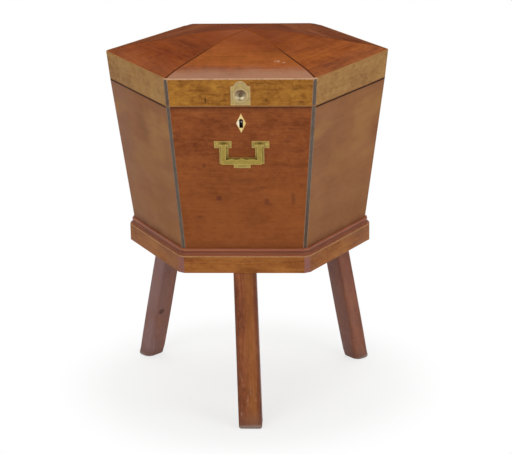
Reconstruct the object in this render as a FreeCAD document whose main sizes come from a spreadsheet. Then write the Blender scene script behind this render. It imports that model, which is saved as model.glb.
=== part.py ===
"""Hexagonal cellarette on a three-legged stand, as a parametric FreeCAD document.

Frame: millimetres, +Z up, origin on the floor under the middle of the hexagon, front towards -Y.
A "flat" is the distance from the middle to a side of the hexagon, and a "reach" is the distance
from the middle to the flat that is cut across one of its corners. A piece of one side is drawn
facing -Y and turned to its place.
"""
import FreeCAD, Part
import os
import Sketcher
from FreeCAD import Placement, Rotation, Vector

SIZES = {
    # legs
    "leg_height": 262.3,
    "leg_set_in": 18.5,
    "front_leg_splay": 33,
    "front_leg_drift": 7,
    "right_leg_splay": 54.7,
    "right_leg_drift": 8.2,
    "left_leg_splay": 66.4,
    "left_leg_drift": 13.4,
    "back_leg_turn": 12,
    "leg_top_width": 36.5,
    "leg_foot_width": 38.2,
    "leg_top_depth": 29,
    "leg_foot_depth": 29.6,
    "leg_chamfer": 2.4,
    "foot_ease": 5,
    "tenon_radius": 9,
    "tenon_length": 20,
    "tenon_root": 4,
    "tenon_clear": 0.2,
    # base frame
    "base_height": 28.5,
    "base_margin": 8.6,
    "base_corner": 11,
    "base_rail_thick": 8,
    "base_line": 1.6,
    # moulding round the foot of the case
    "moulding_height": 11.4,
    "moulding_lip": 0.9,
    "bead_height": 5.4,
    "bead_set": 2.4,
    "bead_fullness": 0.07,
    "quirk_height": 0.8,
    "quirk_set": 0.6,
    "cove_height": 3,
    "cove_fullness": 0.3,
    "fillet_reach": 5.2,
    "fillet_ledge": 0.6,
    # case
    "case_height": 252.6,
    "case_flat_low": 170.2,
    "case_flare": 29,
    "case_thick": 12,
    "bottom_thick": 12,
    "divider_thick": 6,
    "divider_height": 150,
    "divider_clear": 0.2,
    # inlaid lines
    "band_width": 7.5,
    "ebony_width": 5.1,
    "inlay_deep": 2,
    "hip_ebony_half": 1.1,
    "hip_line": 0.9,
    # lid
    "lid_gap": 0.3,
    "lid_height": 45.9,
    "lid_flare": 4.3,
    "lid_thick": 12,
    "lid_foot_line": 1.4,
    "dome_slope": 10.9,
    "dome_crown_half": 80,
    "dome_edge_width": 34,
    "dome_edge_radius": 190,
    "dome_thick": 9,
    # fittings
    "screw_head": 2,
    "screw_shank": 1.1,
    "screw_length": 8,
    "screw_clear": 0.05,
    "running_clear": 0.05,
    "plate_sunk": 1,
    "plate_proud": 0.5,
    # carrying handle
    "handle_drop": 62.5,
    "head_inner": 16,
    "head_outer": 43.4,
    "head_half_height": 5.7,
    "arm_middle": 28.15,
    "arm_plate_half": 7.05,
    "bar_drop": 27.4,
    "bar_plate_half": 5.3,
    "tab_half": 13.3,
    "tab_height": 6.9,
    "stop_half": 7.4,
    "stop_height": 6,
    "stop_rise": 1.6,
    "bail_half": 3.4,
    "bail_thick": 4,
    "bail_peak": 4,
    "peak_half": 9.4,
    "peak_foot": 1,
    "peak_hollow_radius": 23,
    "peak_crest_radius": 11.8,
    "eye_radius": 2.8,
    "lug_radius": 3.2,
    "lug_thick": 3.4,
    "lug_crown": 0.8,
    "lug_foot_half": 3.9,
    "lug_gap": 0.3,
    "pin_radius": 1.5,
    # keyhole
    "keyhole_drop": 27.1,
    "diamond_half_width": 7.9,
    "diamond_half_height": 16.3,
    "diamond_thick": 1.5,
    "keyhole_radius": 3.3,
    "keyhole_rise": 4,
    "keyhole_slot_half": 2.9,
    "keyhole_fall": 8,
    # lock
    "lock_inset": 13,
    "lock_half_width": 26,
    "lock_half_thick": 4.8,
    "lock_height": 42,
    "lock_plate_half": 32,
    "lock_plate_thick": 1.5,
    "lock_plate_lip": 3.2,
    "lock_pin_radius": 1.1,
    "lock_pin_length": 3.8,
    "staple_half_thick": 1.5,
    "staple_half_width": 2.5,
    "staple_length": 11,
    "staple_clear": 0.6,
    "bolt_drop": 6.9,
    "bolt_half_height": 1.8,
    "bolt_half_thick": 1.2,
    "bolt_length": 20,
    "bolt_rest": 2.7,
    "bolt_travel": 6,
    "bolt_clear": 0.3,
    "bolt_tail_width": 7,
    "bolt_tail_drop": 9,
    "link_plate_half": 20,
    "link_plate_thick": 1.5,
    "link_plate_lip": 3.2,
    "link_screw_out": 13,
    # lid pull
    "pull_height": 18.7,
    "pull_half_width": 15.2,
    "pull_fall": 16.1,
    "pull_shoulder": 14.5,
    "pull_neck_half": 8.5,
    "pull_neck_rise": 3.7,
    "pull_hollow_radius": 6.1,
    "pull_crest": 5,
    "pull_screw_margin": 3.3,
    "dish_radius": 9.6,
    "dish_depth": 4.2,
    "dish_wall": 1.4,
    "rim_width": 1.4,
    "rim_rise": 0.8,
    "knob_radius": 2.9,
    "knob_neck": 1.5,
    "knob_crown": 1.7,
    "knob_back": 2.3,
    "knob_back_radius": 3.2,
    # hinges
    "hinge_out": 3.2,
    "hinge_spread": 58,
    "hinge_half": 22,
    "hinge_leaf_width": 9.6,
    "hinge_leaf_thick": 1.2,
    "knuckle_radius": 2.6,
    "knuckle_half": 7.4,
    "knuckle_clear": 0.15,
    "hinge_pin_radius": 1.2,
    "hinge_screw_out": 15,
}

SIDE_NAMES = ("front", "front_right", "back_right", "back", "back_left", "front_left")
SIDES = {name: place * 360 / len(SIDE_NAMES) for place, name in enumerate(SIDE_NAMES)}
LEGS = {
    "front": ("Sizes.front_leg_splay", "Sizes.front_leg_drift", "0"),
    "back_right": ("Sizes.right_leg_splay", "Sizes.right_leg_drift", "Sizes.back_leg_turn"),
    "back_left": ("Sizes.left_leg_splay", "(-Sizes.left_leg_drift)", "(-Sizes.back_leg_turn)"),
}
AXIS_X = Vector(1, 0, 0)
AXIS_Y = Vector(0, 1, 0)
AXIS_Z = Vector(0, 0, 1)

# flats, reaches, levels and slopes, as expressions of the sheet
CASE_FLAT_HIGH = "(Sizes.case_flat_low + Sizes.case_flare)"
LID_FLAT = f"({CASE_FLAT_HIGH} + Sizes.lid_flare)"
BASE_FLAT = "(Sizes.case_flat_low + Sizes.base_margin)"
LEG_TOP_REACH = f"({BASE_FLAT} - Sizes.leg_set_in)"
BASE_TOP = "(Sizes.leg_height + Sizes.base_height)"
BASE_LINE_LOW = f"({BASE_TOP} - Sizes.base_line)"
MOULDING_TOP = f"({BASE_TOP} + Sizes.moulding_height)"
BOTTOM_TOP = f"({BASE_TOP} + Sizes.bottom_thick)"
RIM = f"({BASE_TOP} + Sizes.case_height)"
LID_LOW = f"({RIM} + Sizes.lid_gap)"
LID_FACE_LOW = f"({LID_LOW} + Sizes.lid_foot_line)"
LID_TOP = f"({LID_LOW} + Sizes.lid_height)"
LID_WALL_TOP = f"({LID_TOP} - Sizes.inlay_deep)"
CASE_SLOPE = "(Sizes.case_flare / Sizes.case_height)"
LID_SLOPE = "(Sizes.lid_flare / Sizes.lid_height)"
CASE_LEAN = f"atan({CASE_SLOPE})"
LID_LEAN = f"atan({LID_SLOPE})"
BAND_HALF = "(Sizes.band_width / 2)"
EBONY_HALF = "(Sizes.ebony_width / 2)"

# the dome: six equal panels that meet in the hips, each an even slope between a round crown in the
# middle and a rounder edge, with both arcs tangent to the slope
DOME_FLAT = f"({LID_FLAT} - Sizes.inlay_deep)"
EDGE_START = f"({DOME_FLAT} - Sizes.dome_edge_width)"
EDGE_FLAT = f"({EDGE_START} - Sizes.dome_edge_radius * sin(Sizes.dome_slope))"
EDGE_DROP = f"sqrt(Sizes.dome_edge_radius^2 - ({DOME_FLAT} - {EDGE_FLAT})^2)"
EDGE_CENTRE = f"({LID_TOP} - {EDGE_DROP})"
CROWN_RADIUS = "(Sizes.dome_crown_half / sin(Sizes.dome_slope))"
SLOPE_RISE = f"(({EDGE_START} - Sizes.dome_crown_half) * tan(Sizes.dome_slope))"
CROWN_CENTRE = f"({EDGE_CENTRE} + {SLOPE_RISE}"
CROWN_CENTRE += f" + (Sizes.dome_edge_radius - {CROWN_RADIUS}) * cos(Sizes.dome_slope))"
DOME_TOP = f"({CROWN_CENTRE} + {CROWN_RADIUS})"
OVER_DOME = f"({DOME_TOP} + Sizes.dome_thick)"
THROUGH_DOME = f"({DOME_TOP} - {LID_TOP} + Sizes.dome_thick * 4)"
HIP_HALF = "(Sizes.hip_ebony_half + Sizes.hip_line)"

doc = FreeCAD.newDocument("cellarette")
sheet = doc.addObject("Spreadsheet::Sheet", "Sizes")
nodes = {}


def fill_sheet():
    """Write each driving dimension as a plain number with its alias."""
    for row, (name, number) in enumerate(SIZES.items(), start=1):
        sheet.set(f"A{row}", name)
        sheet.set(f"B{row}", str(number))
        sheet.setAlias(f"B{row}", name)
    doc.recompute()


def value(expression):
    """Number that an expression of the sheet gives."""
    result = sheet.evalExpression(expression)
    return getattr(result, "Value", result)


def case_flat(level):
    """Outer flat of the leaning case at a level."""
    return f"(Sizes.case_flat_low + ({level} - {BASE_TOP}) * {CASE_SLOPE})"


def lid_flat(level):
    """Outer flat of the lid rails at a level."""
    return f"({CASE_FLAT_HIGH} + ({level} - {LID_LOW}) * {LID_SLOPE})"


def corner_reach(flat, half_width):
    """Distance from the middle to the flat cut across a corner, for half its width."""
    return f"(({flat} - {half_width} / 2) / cos(30))"


def edge_height(depth, flat):
    """Level of the dome's round edge, that deep under its face, at a flat."""
    return f"({EDGE_CENTRE} + sqrt((Sizes.dome_edge_radius - {depth})^2 - ({flat} - {EDGE_FLAT})^2))"


def dome_line(depth):
    """Four points of the dome's profile, that deep under its face, and its two radii."""
    edge = f"(Sizes.dome_edge_radius - {depth})"
    crown = f"({CROWN_RADIUS} - {depth})"
    across, upright = "sin(Sizes.dome_slope)", "cos(Sizes.dome_slope)"
    points = [
        (f"(-{DOME_FLAT})", edge_height(depth, DOME_FLAT)),
        (f"(-{EDGE_FLAT} - {edge} * {across})", f"({EDGE_CENTRE} + {edge} * {upright})"),
        (f"(-{crown} * {across})", f"({CROWN_CENTRE} + {crown} * {upright})"),
        ("0", f"({CROWN_CENTRE} + {crown})"),
    ]
    return points, edge, crown


def on_face(level, flat, slope_angle, up, out):
    """Row Y and Z, as expressions, of a point of a leaning front face."""
    y = f"(-({flat}) - ({out}) * cos({slope_angle}) - ({up}) * sin({slope_angle}))"
    z = f"({level} + ({up}) * cos({slope_angle}) - ({out}) * sin({slope_angle}))"
    return y, z


# ---------------------------------------------------------------- helpers for bodies and sketches

def new_body(label, turn=0, node=True):
    """Body turned about the upright axis, and kept as a node unless it joins a group."""
    body = doc.addObject("PartDesign::Body", label)
    body.Label = label
    body.Placement = Placement(Vector(), Rotation(AXIS_Z, turn))
    if node:
        nodes[label] = body
    return body


def origin_item(body, role):
    """Origin plane or axis of a body by its role."""
    return next(item for item in body.Origin.OriginFeatures if item.Role == role)


def new_sketch(body, role, base=("0", "0", "0"), axis=AXIS_X, angle="0"):
    """Sketch on one of the body's own origin planes, moved and turned by expressions."""
    sketch = body.newObject("Sketcher::SketchObject", f"{body.Name}_sketch")
    sketch.AttachmentSupport = [(origin_item(body, role), "")]
    sketch.MapMode = "FlatFace"
    sketch.AttachmentOffset = Placement(Vector(), Rotation(axis, 1))
    for letter, expression in zip("xyz", base):
        sketch.setExpression(f"AttachmentOffset.Base.{letter}", expression)
    sketch.setExpression("AttachmentOffset.Rotation.Angle", angle)
    return sketch


def level_sketch(body, level):
    """Horizontal sketch at a level."""
    return new_sketch(body, "XY_Plane", ("0", "0", level))


def face_sketch(body, level, flat, lean):
    """Sketch in a leaning front face: x to the right, y up the face, normal outwards."""
    return new_sketch(body, "XZ_Plane", ("0", level, flat), AXIS_X, lean)


def side_sketch(body, across, level, flat, lean):
    """Sketch across a leaning front face: x into the piece, y up the face, normal along +X."""
    return new_sketch(body, "YZ_Plane", (f"-({flat})", level, across), AXIS_Z, lean)


def arc_between(start, end, radius, turn):
    """Arc of less than half a circle; its ends as Sketcher vertex numbers."""
    chord = end - start
    half = chord.Length / 2
    rise = max(radius**2 - half**2, 0) ** 0.5
    left = Vector(-chord.y, chord.x, 0).normalize()
    side = 1 if turn == "left" else -1
    centre = (start + end) * 0.5 + left * (rise * side)
    first, last = (start, end) if turn == "left" else (end, start)
    first_angle = AXIS_X.getAngle(first - centre) * (1 if first.y >= centre.y else -1)
    last_angle = AXIS_X.getAngle(last - centre) * (1 if last.y >= centre.y else -1)
    circle = Part.Circle(centre, AXIS_Z, radius)
    ends = (1, 2) if turn == "left" else (2, 1)
    return Part.ArcOfCircle(circle, first_angle, last_angle), ends


def outline(sketch, corners, closed=True):
    """Chain of edges through corners given as expressions.

    A corner is (x, y), or (x, y, radius, turn) where an arc that turns left or right leads to it.
    """
    places = [Vector(value(corner[0]), value(corner[1]), 0) for corner in corners]
    count = len(corners) if closed else len(corners) - 1
    first = sketch.GeometryCount
    ends = []
    constraints = []
    bindings = []
    for index in range(count):
        target = (index + 1) % len(corners)
        start, end = places[index], places[target]
        geometry, pair = Part.LineSegment(start, end), (1, 2)
        if len(corners[target]) == 4:
            radius, turn = corners[target][2:]
            geometry, pair = arc_between(start, end, value(radius), turn)
            constraints.append(Sketcher.Constraint("Radius", first + index, value(radius)))
            bindings.append(radius)
        sketch.addGeometry(geometry, False)
        ends.append(pair)
    for index in range(count):
        spot = (first + index, ends[index][0])
        constraints.append(Sketcher.Constraint("DistanceX", -1, 1, *spot, places[index].x))
        constraints.append(Sketcher.Constraint("DistanceY", -1, 1, *spot, places[index].y))
        bindings.extend(corners[index][:2])
        following = (index + 1) % count
        if closed or following:
            spot = (first + index, ends[index][1], first + following, ends[following][0])
            constraints.append(Sketcher.Constraint("Coincident", *spot))
            bindings.append(None)
    if not closed:
        spot = (first + count - 1, ends[-1][1])
        constraints.append(Sketcher.Constraint("DistanceX", -1, 1, *spot, places[-1].x))
        constraints.append(Sketcher.Constraint("DistanceY", -1, 1, *spot, places[-1].y))
        bindings.extend(corners[-1][:2])
    start = sketch.ConstraintCount
    sketch.addConstraint(constraints)
    for number, expression in enumerate(bindings, start=start):
        if expression is not None:
            sketch.setExpression(f"Constraints[{number}]", expression)
    return sketch


def box_outline(sketch, x_low, x_high, y_low, y_high):
    """Rectangle between expressions."""
    return outline(sketch, [(x_low, y_low), (x_high, y_low), (x_high, y_high), (x_low, y_high)])


def circles(sketch, centres, radius):
    """Equal circles at centres given as expressions."""
    for x, y in centres:
        index = sketch.GeometryCount
        start = sketch.ConstraintCount
        middle = Vector(value(x), value(y), 0)
        sketch.addGeometry(Part.Circle(middle, AXIS_Z, value(radius)), False)
        sketch.addConstraint([
            Sketcher.Constraint("DistanceX", -1, 1, index, 3, middle.x),
            Sketcher.Constraint("DistanceY", -1, 1, index, 3, middle.y),
            Sketcher.Constraint("Radius", index, value(radius)),
        ])
        for number, expression in enumerate((x, y, radius), start=start):
            sketch.setExpression(f"Constraints[{number}]", expression)
    return sketch


def pad(body, sketch, length, back=None, middle=False):
    """Pad a sketch along its normal, both ways if back is given, or evenly about its plane."""
    feature = body.newObject("PartDesign::Pad", f"{body.Name}_pad")
    feature.Profile = sketch
    feature.setExpression("Length", length)
    if middle:
        feature.SideType = "Symmetric"
    if back is not None:
        feature.SideType = "Two sides"
        feature.setExpression("Length2", back)
    return feature


def pocket(body, sketch, depth, middle=False, forward=False):
    """Cut a sketch against its normal, along it if forward, or evenly about its plane."""
    feature = body.newObject("PartDesign::Pocket", f"{body.Name}_pocket")
    feature.Profile = sketch
    feature.setExpression("Length", depth)
    feature.Reversed = forward
    if middle:
        feature.SideType = "Symmetric"
    return feature


def loft(body, low, high):
    """Straight-sided solid between two horizontal sections of the same shape."""
    feature = body.newObject("PartDesign::AdditiveLoft", f"{body.Name}_loft")
    feature.Profile = low
    feature.Sections = [high]
    feature.Ruled = True
    return feature


def revolve(body, sketch, kind="Revolution", line="H_Axis"):
    """Turn a sketch about one of its own axes, to add (Revolution) or to cut (Groove)."""
    feature = body.newObject(f"PartDesign::{kind}", f"{body.Name}_{kind.lower()}")
    feature.Profile = sketch
    feature.ReferenceAxis = (sketch, [line])
    feature.Angle = 360
    return feature


def around(body, features, count, whole=False):
    """Repeat features round the upright axis."""
    feature = body.newObject("PartDesign::PolarPattern", f"{body.Name}_pattern")
    if whole:
        feature.TransformMode = "Whole shape"
    else:
        feature.Originals = features
    feature.Axis = (origin_item(body, "Z_Axis"), [""])
    feature.Angle = 360
    feature.Occurrences = count
    body.Tip = feature
    return feature


def group(label, members):
    """Node made of several separate solids."""
    compound = doc.addObject("Part::Compound", label)
    compound.Label = label
    compound.Links = members
    nodes[label] = compound
    return compound


# ---------------------------------------------------------------- sections of the hexagon

def on_corner_line(reach, inward):
    """Point that far along the right-hand corner line, and off it into the side's own sector."""
    x = f"({reach} * sin(30) - {inward} * cos(30))"
    y = f"(-{reach} * cos(30) - {inward} * sin(30))"
    return x, y


def mirrored(points):
    """Right-hand points of a symmetric outline, and their mirror images in reverse."""
    return points + [(f"-{x}", y) for x, y in reversed(points)]


def mitred_section(flat, thick, corner_half, rebate):
    """Section of a mitred board whose corners are cut across, with a rebate for a corner band."""
    reach = corner_reach(flat, corner_half)
    seat = f"({reach} - {rebate})"
    inner = f"({flat} - {thick})"
    points = [(f"({flat} * tan(30) - {corner_half} / cos(30))", f"(-{flat})")]
    if rebate != "0":
        points.append(on_corner_line(seat, corner_half))
    points.append(on_corner_line(seat, "0"))
    points.append((f"({inner} * tan(30))", f"(-{inner})"))
    return mirrored(points)


def ring_section(flat, corner_half):
    """Hexagon with its corners cut across."""
    reach = corner_reach(flat, corner_half)
    points = []
    for turn in range(0, 360, 60):
        for side in (-1, 1):
            x = f"({reach} * cos({turn}) - {side} * {corner_half} * sin({turn}))"
            y = f"({reach} * sin({turn}) + {side} * {corner_half} * cos({turn}))"
            points.append((x, y))
    return points


def hexagon_section(flat):
    """Plain hexagon."""
    radius = f"({flat} / cos(30))"
    return [(f"({radius} * cos({turn}))", f"({radius} * sin({turn}))") for turn in range(0, 360, 60)]


def sector_surround(inward, reach):
    """Outline of all that lies outside one sector, whose corners are cut across at a reach."""
    far = f"({LID_FLAT} * 2)"
    past = "Sizes.band_width * 2"
    edge = on_corner_line(reach, past)
    points = [
        on_corner_line(reach, inward),
        edge,
        (far, edge[1]),
        (far, "Sizes.band_width"),
    ]
    return [("0", f"(-2 * {inward})")] + mirrored(points)


# ---------------------------------------------------------------- stand

TENON_CENTRE = [("0", f"(-{LEG_TOP_REACH})")]


def leg_section(width, depth, reach, aside, turn):
    """Rectangle with its corners taken off, turned in its place, that far out and to the side."""
    half_wide, half_deep = f"({width} / 2)", f"({depth} / 2)"
    wide, deep = f"({width} / 2 - Sizes.leg_chamfer)", f"({depth} / 2 - Sizes.leg_chamfer)"
    right = [(wide, f"(-{half_deep})"), (half_wide, f"(-{deep})"), (half_wide, deep), (wide, half_deep)]
    points = []
    for x, y in mirrored(right):
        across = f"({x} * cos({turn}) - {y} * sin({turn}) + {aside})"
        points.append((across, f"({x} * sin({turn}) + {y} * cos({turn}) - {reach})"))
    return points


def make_leg(name, splay, drift, turn):
    """Leg with an eased foot that splays outwards and to one side, and an upright round tenon."""
    body = new_body(f"leg_{name}", SIDES[name])
    reach = f"({LEG_TOP_REACH} + {splay})"
    ease = "Sizes.foot_ease"
    partly = f"({ease} * (1 - sqrt(0.5)))"
    sections = []
    for level, inset in (("0", ease), (partly, partly), (ease, "0")):
        sides = [f"({side} - {inset} * 2)" for side in ("Sizes.leg_foot_width", "Sizes.leg_foot_depth")]
        sections.append((level, leg_section(*sides, reach, drift, turn)))
    top = leg_section("Sizes.leg_top_width", "Sizes.leg_top_depth", LEG_TOP_REACH, "0", turn)
    sections.append(("Sizes.leg_height", top))
    for pair in zip(sections, sections[1:]):
        loft(body, *(outline(level_sketch(body, level), points) for level, points in pair))
    tenon = circles(level_sketch(body, "Sizes.leg_height"), TENON_CENTRE, "Sizes.tenon_radius")
    pad(body, tenon, "Sizes.tenon_length", back="Sizes.tenon_root")


def make_base():
    """Platform with three mortises, and its mitred lipping with a pale line along the top edge."""
    body = new_body("base_board")
    inner = f"({BASE_FLAT} - Sizes.base_rail_thick)"
    board = outline(level_sketch(body, "Sizes.leg_height"), hexagon_section(inner))
    pad(body, board, "Sizes.base_height")
    mortise = level_sketch(body, "Sizes.leg_height")
    circles(mortise, TENON_CENTRE, "(Sizes.tenon_radius + Sizes.running_clear)")
    depth = "(Sizes.tenon_length + Sizes.tenon_clear)"
    around(body, [pocket(body, mortise, depth, forward=True)], len(LEGS))

    corner_half = "(Sizes.base_corner / 2)"
    narrow = f"({BASE_FLAT} - Sizes.base_line)"
    narrow_half = f"(({narrow} - {corner_reach(BASE_FLAT, corner_half)} * cos(30)"
    narrow_half += " + Sizes.base_line * cos(30)) * 2)"
    for name, turn in SIDES.items():
        rail = new_body(f"base_rail_{name}", turn)
        low = mitred_section(BASE_FLAT, "Sizes.base_rail_thick", corner_half, "0")
        low_sketch = outline(level_sketch(rail, "Sizes.leg_height"), low)
        pad(rail, low_sketch, "Sizes.base_height - Sizes.base_line")
        thick = "(Sizes.base_rail_thick - Sizes.base_line)"
        high = mitred_section(narrow, thick, narrow_half, "0")
        pad(rail, outline(level_sketch(rail, BASE_LINE_LOW), high), "Sizes.base_line")

    line = new_body("base_boxwood_line")
    edge = outline(level_sketch(line, BASE_LINE_LOW), ring_section(BASE_FLAT, corner_half))
    outline(edge, ring_section(narrow, narrow_half))
    pad(line, edge, "Sizes.base_line")


def make_moulding():
    """Fillet, cove and bead, in six lengths that are mitred round the cut corners."""
    lengths = [make_moulding_length(f"moulding_{name}", turn) for name, turn in SIDES.items()]
    group("base_moulding", lengths)


def make_moulding_length(label, turn):
    """One length, with a short return on the cut corner at each end."""
    body = new_body(label, turn, False)
    flat = case_flat(MOULDING_TOP)
    reach = corner_reach(flat, BAND_HALF)
    turn_in = f"({flat} * tan(30) - {BAND_HALF} / cos(30))"
    path = level_sketch(body, MOULDING_TOP)
    right = [(turn_in, f"(-{flat})"), on_corner_line(reach, "0")]
    left = [(f"-{x}", y) for x, y in reversed(right)]
    outline(path, left + right, closed=False)
    profile = new_sketch(body, "YZ_Plane", ("0", MOULDING_TOP, "0"), AXIS_Y, "-30")
    outline(profile, moulding_profile(reach))
    sweep = body.newObject("PartDesign::AdditivePipe", f"{body.Name}_sweep")
    sweep.Profile = profile
    sweep.Spine = (path, [f"Edge{number}" for number in (1, 2, 3)])
    sweep.Transition = "Right corner"
    return body


def moulding_profile(reach):
    """Corners of the moulding, from its top inner edge; x runs inwards, y up."""
    bead_low = "(-Sizes.bead_height)"
    quirk_low = f"({bead_low} - Sizes.quirk_height)"
    cove_low = f"({quirk_low} - Sizes.cove_height)"
    foot = "(-Sizes.moulding_height)"
    quirk_out = "(Sizes.bead_set - Sizes.quirk_set)"
    cove_out = "(Sizes.fillet_reach - Sizes.fillet_ledge)"
    bead_run = "(Sizes.bead_set - Sizes.moulding_lip)"
    bead = f"(sqrt({bead_run}^2 + Sizes.bead_height^2) / 2 * (1 + Sizes.bead_fullness))"
    cove_run = f"({cove_out} - {quirk_out})"
    cove = f"(sqrt({cove_run}^2 + Sizes.cove_height^2) / 2 * (1 + Sizes.cove_fullness))"
    back = f"(Sizes.moulding_height * {CASE_SLOPE})"
    steps = [
        ("0", "0"),
        ("Sizes.moulding_lip", "0"),
        ("Sizes.bead_set", bead_low, bead, "left"),
        (quirk_out, quirk_low),
        (cove_out, cove_low, cove, "right"),
        ("Sizes.fillet_reach", cove_low),
        ("Sizes.fillet_reach", foot),
        (f"(-{back})", foot),
    ]
    return [(f"(-{reach} - {step[0]})", *step[1:]) for step in steps]


# ---------------------------------------------------------------- case

def make_case():
    """Six leaning boards, the bottom, the corner bands and the bottle dividers."""
    for name, turn in SIDES.items():
        panel = new_body(f"case_panel_{name}", turn)
        sections = []
        for level, flat in ((BASE_TOP, "Sizes.case_flat_low"), (RIM, CASE_FLAT_HIGH)):
            section = mitred_section(flat, "Sizes.case_thick", BAND_HALF, "Sizes.inlay_deep")
            sections.append(outline(level_sketch(panel, level), section))
        loft(panel, *sections)

    bottom = new_body("case_bottom")
    sections = []
    for level in (BASE_TOP, BOTTOM_TOP):
        flat = f"({case_flat(level)} - Sizes.case_thick)"
        sections.append(outline(level_sketch(bottom, level), hexagon_section(flat)))
    loft(bottom, *sections)

    levels = ((BASE_TOP, "Sizes.case_flat_low"), (RIM, CASE_FLAT_HIGH))
    make_corner_bands("case_ebony_corners", levels, [(f"(-{EBONY_HALF})", EBONY_HALF)])
    lines = [(EBONY_HALF, BAND_HALF), (f"(-{BAND_HALF})", f"(-{EBONY_HALF})")]
    make_corner_bands("case_boxwood_lines", levels, lines)
    for place, name in enumerate("abc"):
        make_divider(name, place)


def make_corner_bands(label, levels, strips, node=True):
    """Strips let in flush along every corner; each strip lies between two offsets from it."""
    body = new_body(label, 30, node)
    made = []
    for near, far in strips:
        sections = []
        for level, flat in levels:
            reach = corner_reach(flat, BAND_HALF)
            sketch = level_sketch(body, level)
            sections.append(box_outline(sketch, near, far, f"(-{reach})", f"(Sizes.inlay_deep - {reach})"))
        made.append(loft(body, *sections))
    around(body, made, len(SIDES))
    return body


def make_divider(name, place):
    """Board from corner to corner, halved over the two others: each keeps one third in the middle."""
    body = new_body(f"bottle_divider_{name}", place * 60)
    top = f"({BOTTOM_TOP} + Sizes.divider_height)"
    ends = []
    for level in (BOTTOM_TOP, top):
        blunt = "(Sizes.divider_thick / 2 / tan(60))"
        inner = f"(({case_flat(level)} - Sizes.case_thick) / cos(30))"
        ends.append((f"({inner} - {blunt} - Sizes.divider_clear)", level))
    side = outline(new_sketch(body, "XZ_Plane"), mirrored(ends))
    pad(body, side, "Sizes.divider_thick", middle=True)
    half = "(Sizes.divider_thick * cos(30) + Sizes.divider_clear)"
    third = "(Sizes.divider_height / 3)"
    cuts = []
    if place > 0:
        cuts.append((f"({BOTTOM_TOP} - Sizes.divider_clear)", f"({BOTTOM_TOP} + {place} * {third})"))
    if place < 2:
        cuts.append((f"({BOTTOM_TOP} + {place + 1} * {third})", f"({top} + Sizes.divider_clear)"))
    for low, high in cuts:
        notch = box_outline(new_sketch(body, "XZ_Plane"), f"(-{half})", half, low, high)
        pocket(body, notch, "Sizes.divider_thick * 2", middle=True)


# ---------------------------------------------------------------- lid

def make_lid():
    """Mitred rails, six curved panels, and the dark and pale lines of edges, corners and hips."""
    for name, turn in SIDES.items():
        make_lid_rail(name, turn)
        make_lid_top(name, turn)

    levels = ((LID_FACE_LOW, lid_flat(LID_FACE_LOW)), (LID_WALL_TOP, lid_flat(LID_WALL_TOP)))
    corners = make_corner_bands("lid_corner_ebony", levels, [(f"(-{EBONY_HALF})", EBONY_HALF)], False)
    hips = make_hip_band("lid_hip_ebony", "0", "Sizes.hip_ebony_half")
    group("lid_ebony_lines", [corners, hips])

    lines = [(EBONY_HALF, BAND_HALF), (f"(-{BAND_HALF})", f"(-{EBONY_HALF})")]
    corners = make_corner_bands("lid_corner_lines", levels, lines, False)
    hips = make_hip_band("lid_hip_lines", "Sizes.hip_ebony_half", HIP_HALF)
    foot_line = make_foot_line()
    group("lid_boxwood_lines", [corners, hips, make_edge_line(), foot_line])
    return foot_line


def panel_reach():
    """Reach of the cut corners of the domed panels: they stop behind the corner bands."""
    seat = lid_flat(edge_height("Sizes.dome_thick", DOME_FLAT))
    return f"({corner_reach(seat, BAND_HALF)} - Sizes.inlay_deep)"


def make_lid_rail(name, turn):
    """Leaning rail with a thin wall round the domed panel and a seat shaped to its underside."""
    rail = new_body(f"lid_rail_{name}", turn)
    sections = []
    for level in (LID_FACE_LOW, LID_WALL_TOP):
        section = mitred_section(lid_flat(level), "Sizes.lid_thick", BAND_HALF, "Sizes.inlay_deep")
        sections.append(outline(level_sketch(rail, level), section))
    loft(rail, *sections)
    foot_flat = f"({lid_flat(LID_LOW)} - Sizes.lid_foot_line)"
    foot_half = foot_line_half()
    foot_thick = "(Sizes.lid_thick - Sizes.lid_foot_line)"
    foot = outline(level_sketch(rail, LID_LOW), mitred_section(foot_flat, foot_thick, foot_half, "0"))
    pad(rail, foot, "Sizes.lid_foot_line")

    inner = f"({LID_FLAT} - Sizes.lid_thick * 2)"
    seat = outline(new_sketch(rail, "YZ_Plane"), [
        (f"(-{DOME_FLAT})", OVER_DOME),
        (f"(-{DOME_FLAT})", edge_height("Sizes.dome_thick", DOME_FLAT)),
        (
            f"(-{inner})", edge_height("Sizes.dome_thick", inner),
            "(Sizes.dome_edge_radius - Sizes.dome_thick)", "right",
        ),
        (f"(-{inner})", OVER_DOME),
    ])
    pocket(rail, seat, f"{LID_FLAT} * 3", middle=True)


def foot_line_half():
    """Half width of the lid's cut corner inside the pale line along its foot."""
    outer = corner_reach(lid_flat(LID_LOW), BAND_HALF)
    inner_flat = f"({lid_flat(LID_LOW)} - Sizes.lid_foot_line)"
    return f"(({inner_flat} - ({outer} - Sizes.lid_foot_line) * cos(30)) * 2)"


def dome_layer(body, outer, inner):
    """Curved slab between two depths under the dome's face, wider than its sector."""
    over, over_edge, over_crown = dome_line(outer)
    under, under_edge, under_crown = dome_line(inner)
    layer = outline(new_sketch(body, "YZ_Plane"), [
        over[0],
        (*over[1], over_edge, "right"),
        over[2],
        (*over[3], over_crown, "right"),
        under[3],
        (*under[2], under_crown, "left"),
        under[1],
        (*under[0], under_edge, "left"),
    ])
    return pad(body, layer, f"{LID_FLAT} * 2", middle=True)


def trim_sector(body, inward):
    """Cut away all that lies outside the sector."""
    surround = outline(level_sketch(body, OVER_DOME), sector_surround(inward, panel_reach()))
    return pocket(body, surround, THROUGH_DOME)


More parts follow.
